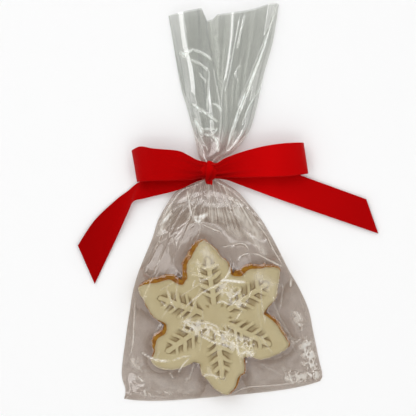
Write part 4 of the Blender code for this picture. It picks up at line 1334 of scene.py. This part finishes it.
ribbon = {
    "thickness": 0.35,
    "columns": 30,
    "stepsPerKey": 14,
    "selvedge": 0.2,  # radius of the woven edge
    "knotCentre": (-4.0, 91.8, 11.4),
    "knotSize": (11.6, 13.4, 4.4),
    "knotGrid": (72, 96),
    "knotGirth": 6.5,
    # creases down the knot: (x at its middle, lean, half width, depth)
    "knotCreases": ((-5.9, 0.10, 0.8, 1.1), (-0.4, 0.42, 1.3, 0.9), (-8.2, -0.2, 0.7, 0.5)),
    "bandHalf": (5.5, 4.3),
    "bandEnds": (88.4, 97.2),
    "bandCentre": (-3.2, 4.9),
    "bandSteps": 96,
}

# how each kind of length puckers by the knot and sways further out
puckers = {
    "loops": {
        "reach": 17.0, "counts": (1.6, 3.1, 4.3), "height": 0.9,
        "bothEnds": 0.4, "sway": 0.7, "swayLength": 52.0,
    },
    "tails": {
        "reach": 14.0, "counts": (1.5, 2.6), "height": 0.5,
        "bothEnds": 0.0, "sway": 0.5, "swayLength": 60.0,
    },
    "tip": {
        "reach": 12.0, "counts": (1.4,), "height": 0.2,
        "bothEnds": 0.0, "sway": 0.0, "swayLength": 60.0,
    },
}

# each row is the upper edge x, y, z and the lower edge x, y, z
leftLoopKeys = (
    (-3.5, 97.0, 12.2, -3.5, 87.6, 11.4), (-10.6, 98.5, 13.4, -9.4, 87.5, 12.2),
    (-16.3, 101.4, 14.6, -14.8, 86.3, 12.6), (-23.1, 104.3, 15.2, -23.0, 86.0, 12.8),
    (-37.9, 105.7, 14.2, -36.0, 85.8, 12.2), (-46.2, 107.2, 11.6, -44.6, 85.5, 10.2),
    (-51.2, 105.6, 8.6, -48.2, 85.3, 7.8), (-52.6, 104.4, 6.0, -48.4, 85.4, 5.6),
    (-49.6, 103.6, 3.9, -45.0, 85.8, 3.8), (-36.0, 101.5, 3.6, -33.0, 86.4, 4.4),
    (-19.0, 98.0, 5.2, -18.0, 87.6, 6.4), (-9.5, 95.6, 10.0, -9.0, 88.6, 10.0),
    (-4.0, 95.0, 11.0, -4.0, 89.0, 11.0),
)
rightLoopKeys = (
    (-2.5, 96.2, 12.2, -2.5, 87.8, 11.4), (1.6, 96.7, 13.0, 3.5, 88.0, 12.0),
    (6.8, 99.8, 13.8, 9.5, 87.9, 12.2), (17.9, 103.8, 14.8, 20.0, 88.0, 12.2),
    (31.0, 107.1, 15.2, 33.5, 88.3, 11.8), (43.5, 109.0, 14.0, 46.5, 88.9, 10.8),
    (52.2, 109.6, 11.2, 55.8, 90.0, 9.2), (56.0, 109.6, 7.8, 59.6, 90.8, 6.8),
    (53.2, 109.0, 5.0, 56.6, 90.2, 4.6), (38.0, 105.5, 4.4, 39.5, 88.9, 5.0),
    (17.0, 99.0, 5.6, 18.0, 89.0, 6.6), (5.0, 95.6, 10.0, 5.0, 89.0, 10.0),
    (-2.0, 95.0, 11.0, -2.0, 89.0, 11.0),
)
leftTailKeys = (
    (-4.5, 92.6, 11.0, -5.0, 87.2, 11.0), (-11.4, 91.4, 8.0, -12.6, 84.9, 8.0),
    (-23.0, 89.6, 4.8, -23.2, 80.2, 5.8), (-36.0, 87.6, 2.4, -38.5, 76.4, 2.6),
    (-41.8, 86.7, 1.9, -45.2, 74.7, 3.4), (-47.2, 85.4, 1.4, -51.5, 72.9, 4.0),
    (-51.3, 82.9, 1.2, -54.9, 66.0, 3.6), (-55.0, 79.6, 1.1, -57.9, 59.5, 3.0),
    (-62.5, 73.9, 1.0, -62.9, 49.0, 1.8), (-76.4, 60.6, 1.3, -70.0, 34.2, 1.1),
    (-87.1, 44.5, 2.0, -76.6, 20.3, 1.0),
)
rightTailKeys = (
    (-2.0, 92.6, 11.0, -1.0, 87.4, 11.0), (6.0, 92.4, 8.4, 7.4, 86.6, 8.2),
    (19.0, 93.2, 4.0, 17.2, 83.2, 4.6), (42.0, 93.8, 2.2, 35.8, 76.3, 2.2),
    (60.0, 87.4, 1.4, 53.5, 70.1, 2.4), (77.0, 81.3, 1.1, 70.0, 64.4, 2.0),
    (97.0, 74.0, 2.0, 104.6, 52.5, 1.1),
)
tipKeys = (
    (-1.9, 89.0, 12.0, -6.2, 89.0, 12.0), (-1.4, 86.0, 11.2, -5.9, 86.2, 11.4),
    (-1.6, 83.2, 10.2, -5.0, 83.8, 10.6),
)


def thicken(piece):
    wall = piece.modifiers.new("thickness", "SOLIDIFY")
    wall.thickness = ribbon["thickness"] * mm
    wall.offset = 0.0


def gridNormals(points):
    along = np.gradient(points, axis=0)
    across = np.gradient(points, axis=1)
    normal = np.cross(along, across)
    return normal / (np.linalg.norm(normal, axis=2, keepdims=True) + 1e-9)


# a length of ribbon between two smooth edges, gathered into soft pleats by the knot
def buildStrip(name, keys, material, pucker, seed):
    steps = (len(keys) - 1) * ribbon["stepsPerKey"] + 1
    edges = smoothPath(keys, np.linspace(0.0, len(keys) - 1, steps))
    share = np.linspace(0.0, 1.0, ribbon["columns"] + 1)
    points = edges[:, None, :3] * (1.0 - share[None, :, None]) + edges[:, None, 3:] * share[None, :, None]
    centre = points.mean(1)
    run = np.concatenate([[0.0], np.cumsum(np.linalg.norm(np.diff(centre, axis=0), axis=1))])
    draw = np.random.default_rng(seed)
    fade = np.exp(-((run / pucker["reach"]) ** 1.3))[:, None]
    fade = fade + np.exp(-(((run[-1] - run) / pucker["reach"]) ** 1.3))[:, None] * pucker["bothEnds"]
    waves = np.zeros((steps, len(share)))
    for count in pucker["counts"]:
        phase = draw.uniform(0.0, 1.0)
        waves += np.sin((share[None, :] * count + phase + run[:, None] * 0.006) * math.tau)
    waves = waves / len(pucker["counts"])
    sway = np.sin(run / pucker["swayLength"] * math.tau + draw.uniform(0, 6.0))
    sway = sway[:, None] * (share - 0.5)[None, :]
    lift = waves * fade * pucker["height"] + sway * pucker["sway"]
    points = points + gridNormals(points) * lift[..., None]
    ribbonWidth = np.linalg.norm(edges[:, :3] - edges[:, 3:], axis=1)
    uvs = np.stack([
        np.repeat(run[:, None], len(share), 1),
        (share[None, :] - 0.5) * ribbonWidth[:, None],
    ], 2)
    piece = sheetObject(name, points, material, uvs)
    # painted shade near the knot, deeper towards the lower edge and in the puckers
    low = np.exp(-((run / pucker["reach"] * 1.1) ** 2))[:, None] * (0.15 + 0.75 * share[None, :])
    gathered = np.clip(low * (1.0 + 0.5 * waves), 0.0, 1.0)
    setAttribute(piece.data, "gathered", gathered.ravel())
    thicken(piece)
    return piece, points[:, 0], points[:, -1]


# follows the ribbon's edges with a thin round cord
def selvedgeTree(material):
    tree, start, values = newTree("wovenEdge", {
        "Radius": ("Float", ribbon["selvedge"] * mm),
        "Sides": ("Int", 6),
    })
    curve = addNode(tree, "GeometryNodeMeshToCurve", {"Mesh": start["Geometry"]}).outputs["Curve"]
    inputs = {"Radius": start["Radius"], "Resolution": start["Sides"]}
    profile = addNode(tree, "GeometryNodeCurvePrimitiveCircle", inputs).outputs["Curve"]
    inputs = {"Curve": curve, "Profile Curve": profile, "Fill Caps": True}
    endTree(tree, addNode(tree, "GeometryNodeCurveToMesh", inputs).outputs["Mesh"], material)
    return tree, values


def buildSelvedge(edgeLines, material):
    points = []
    edges = []
    for line in edgeLines:
        base = len(points)
        points.extend((line * mm).tolist())
        edges.extend((base + k, base + k + 1) for k in range(len(line) - 1))
    guide = lineObject("ribbonSelvedge", points, edges)
    guide.data = runTree(guide, *selvedgeTree(material))
    guide.data.shade_smooth()
    return guide


# the knot: an oval lump with the creases of the pulled ribbon
def buildKnot(material):
    rows, columns = ribbon["knotGrid"]
    polar = np.linspace(math.pi, 0.0, rows + 2)[1:-1][:, None]
    turn = np.arange(columns)[None, :] * math.tau / columns
    size = [value / 2.0 for value in ribbon["knotSize"]]
    x = np.sin(polar) * np.cos(turn) * size[0]
    y = np.sin(polar) * np.sin(turn) * size[1]
    z = (np.cos(polar) + 0.0 * turn) * size[2]
    centre = ribbon["knotCentre"]
    sunk = np.zeros_like(x)
    for middle, lean, halfWidth, depth in ribbon["knotCreases"]:
        away = x + centre[0] - middle - lean * y
        sunk += depth * np.exp(-((away / halfWidth) ** 2))
    shrink = 1.0 - sunk / ribbon["knotGirth"]
    rings = np.stack([x * shrink + centre[0], y * shrink + centre[1], z * shrink + centre[2]], 2)
    bottom = (centre[0], centre[1], centre[2] - size[2])
    top = (centre[0], centre[1], centre[2] + size[2])
    piece = discObject("knotWrap", rings, bottom, top, material)
    # painted shade in the knot's creases and over its lower half
    gathered = np.clip(sunk * 0.3 + 0.6 * smoothStep((0.25 - y / size[1]) / 0.9), 0.0, 1.0)
    setAttribute(piece.data, "gathered", np.concatenate([gathered.ravel(), [0.0, 0.3]]))
    return piece


# the turn of ribbon round the neck
def buildBand(material):
    turn = np.arange(ribbon["bandSteps"]) * math.tau / ribbon["bandSteps"]
    ys = np.linspace(*ribbon["bandEnds"], 13)
    x = ribbon["bandCentre"][0] + ribbon["bandHalf"][0] * np.cos(turn)[:, None] + 0.0 * ys
    z = ribbon["bandCentre"][1] + ribbon["bandHalf"][1] * np.sin(turn)[:, None] + 0.12 * np.sin(ys * 2.2)
    points = np.stack([x, ys[None, :] + 0.0 * x, z], 2)
    rows, columns = points.shape[:2]
    faces = []
    for j in range(rows):
        n = (j + 1) % rows
        for i in range(columns - 1):
            faces.append((j * columns + i + 1, n * columns + i + 1, n * columns + i, j * columns + i))
    middle = sum(ribbon["bandEnds"]) / 2.0
    uvs = np.stack([turn[:, None] * 5.0 + 0.0 * ys, ys[None, :] - middle + 0.0 * turn[:, None]], 2)
    piece = meshObject("neckBand", points.reshape(-1, 3) * mm, faces, material, uvs.reshape(-1, 2))
    thicken(piece)
    return piece


def buildRibbon(face, edge):
    lengths = (
        ("leftLoop", leftLoopKeys, "loops", 51),
        ("rightLoop", rightLoopKeys, "loops", 52),
        ("leftTail", leftTailKeys, "tails", 53),
        ("rightTail", rightTailKeys, "tails", 54),
        ("ribbonTip", tipKeys, "tip", 55),
    )
    pieces = []
    lines = []
    for name, keys, kind, seed in lengths:
        piece, upper, lower = buildStrip(name, keys, face, puckers[kind], seed)
        pieces.append(piece)
        lines.extend((upper, lower))
    for piece in (*pieces, buildKnot(face), buildBand(face), buildSelvedge(lines, edge)):
        dress(piece, "ribbon_bow")
    print("ribbon: bow of", len(lengths), "lengths, knot and band")


buildRoom()
baked = makeDough()
dough = buildDough(baked)
dress(buildCrumbs(dough, baked), "bag")
dress(dough, "bag")
dress(buildIcing(makeIcing()), "bag")
for sheet in buildFilm(makeFilm()):
    dress(sheet, "bag")
buildRibbon(makeRibbon("satinRibbon", True), makeRibbon("satinEdge", False))
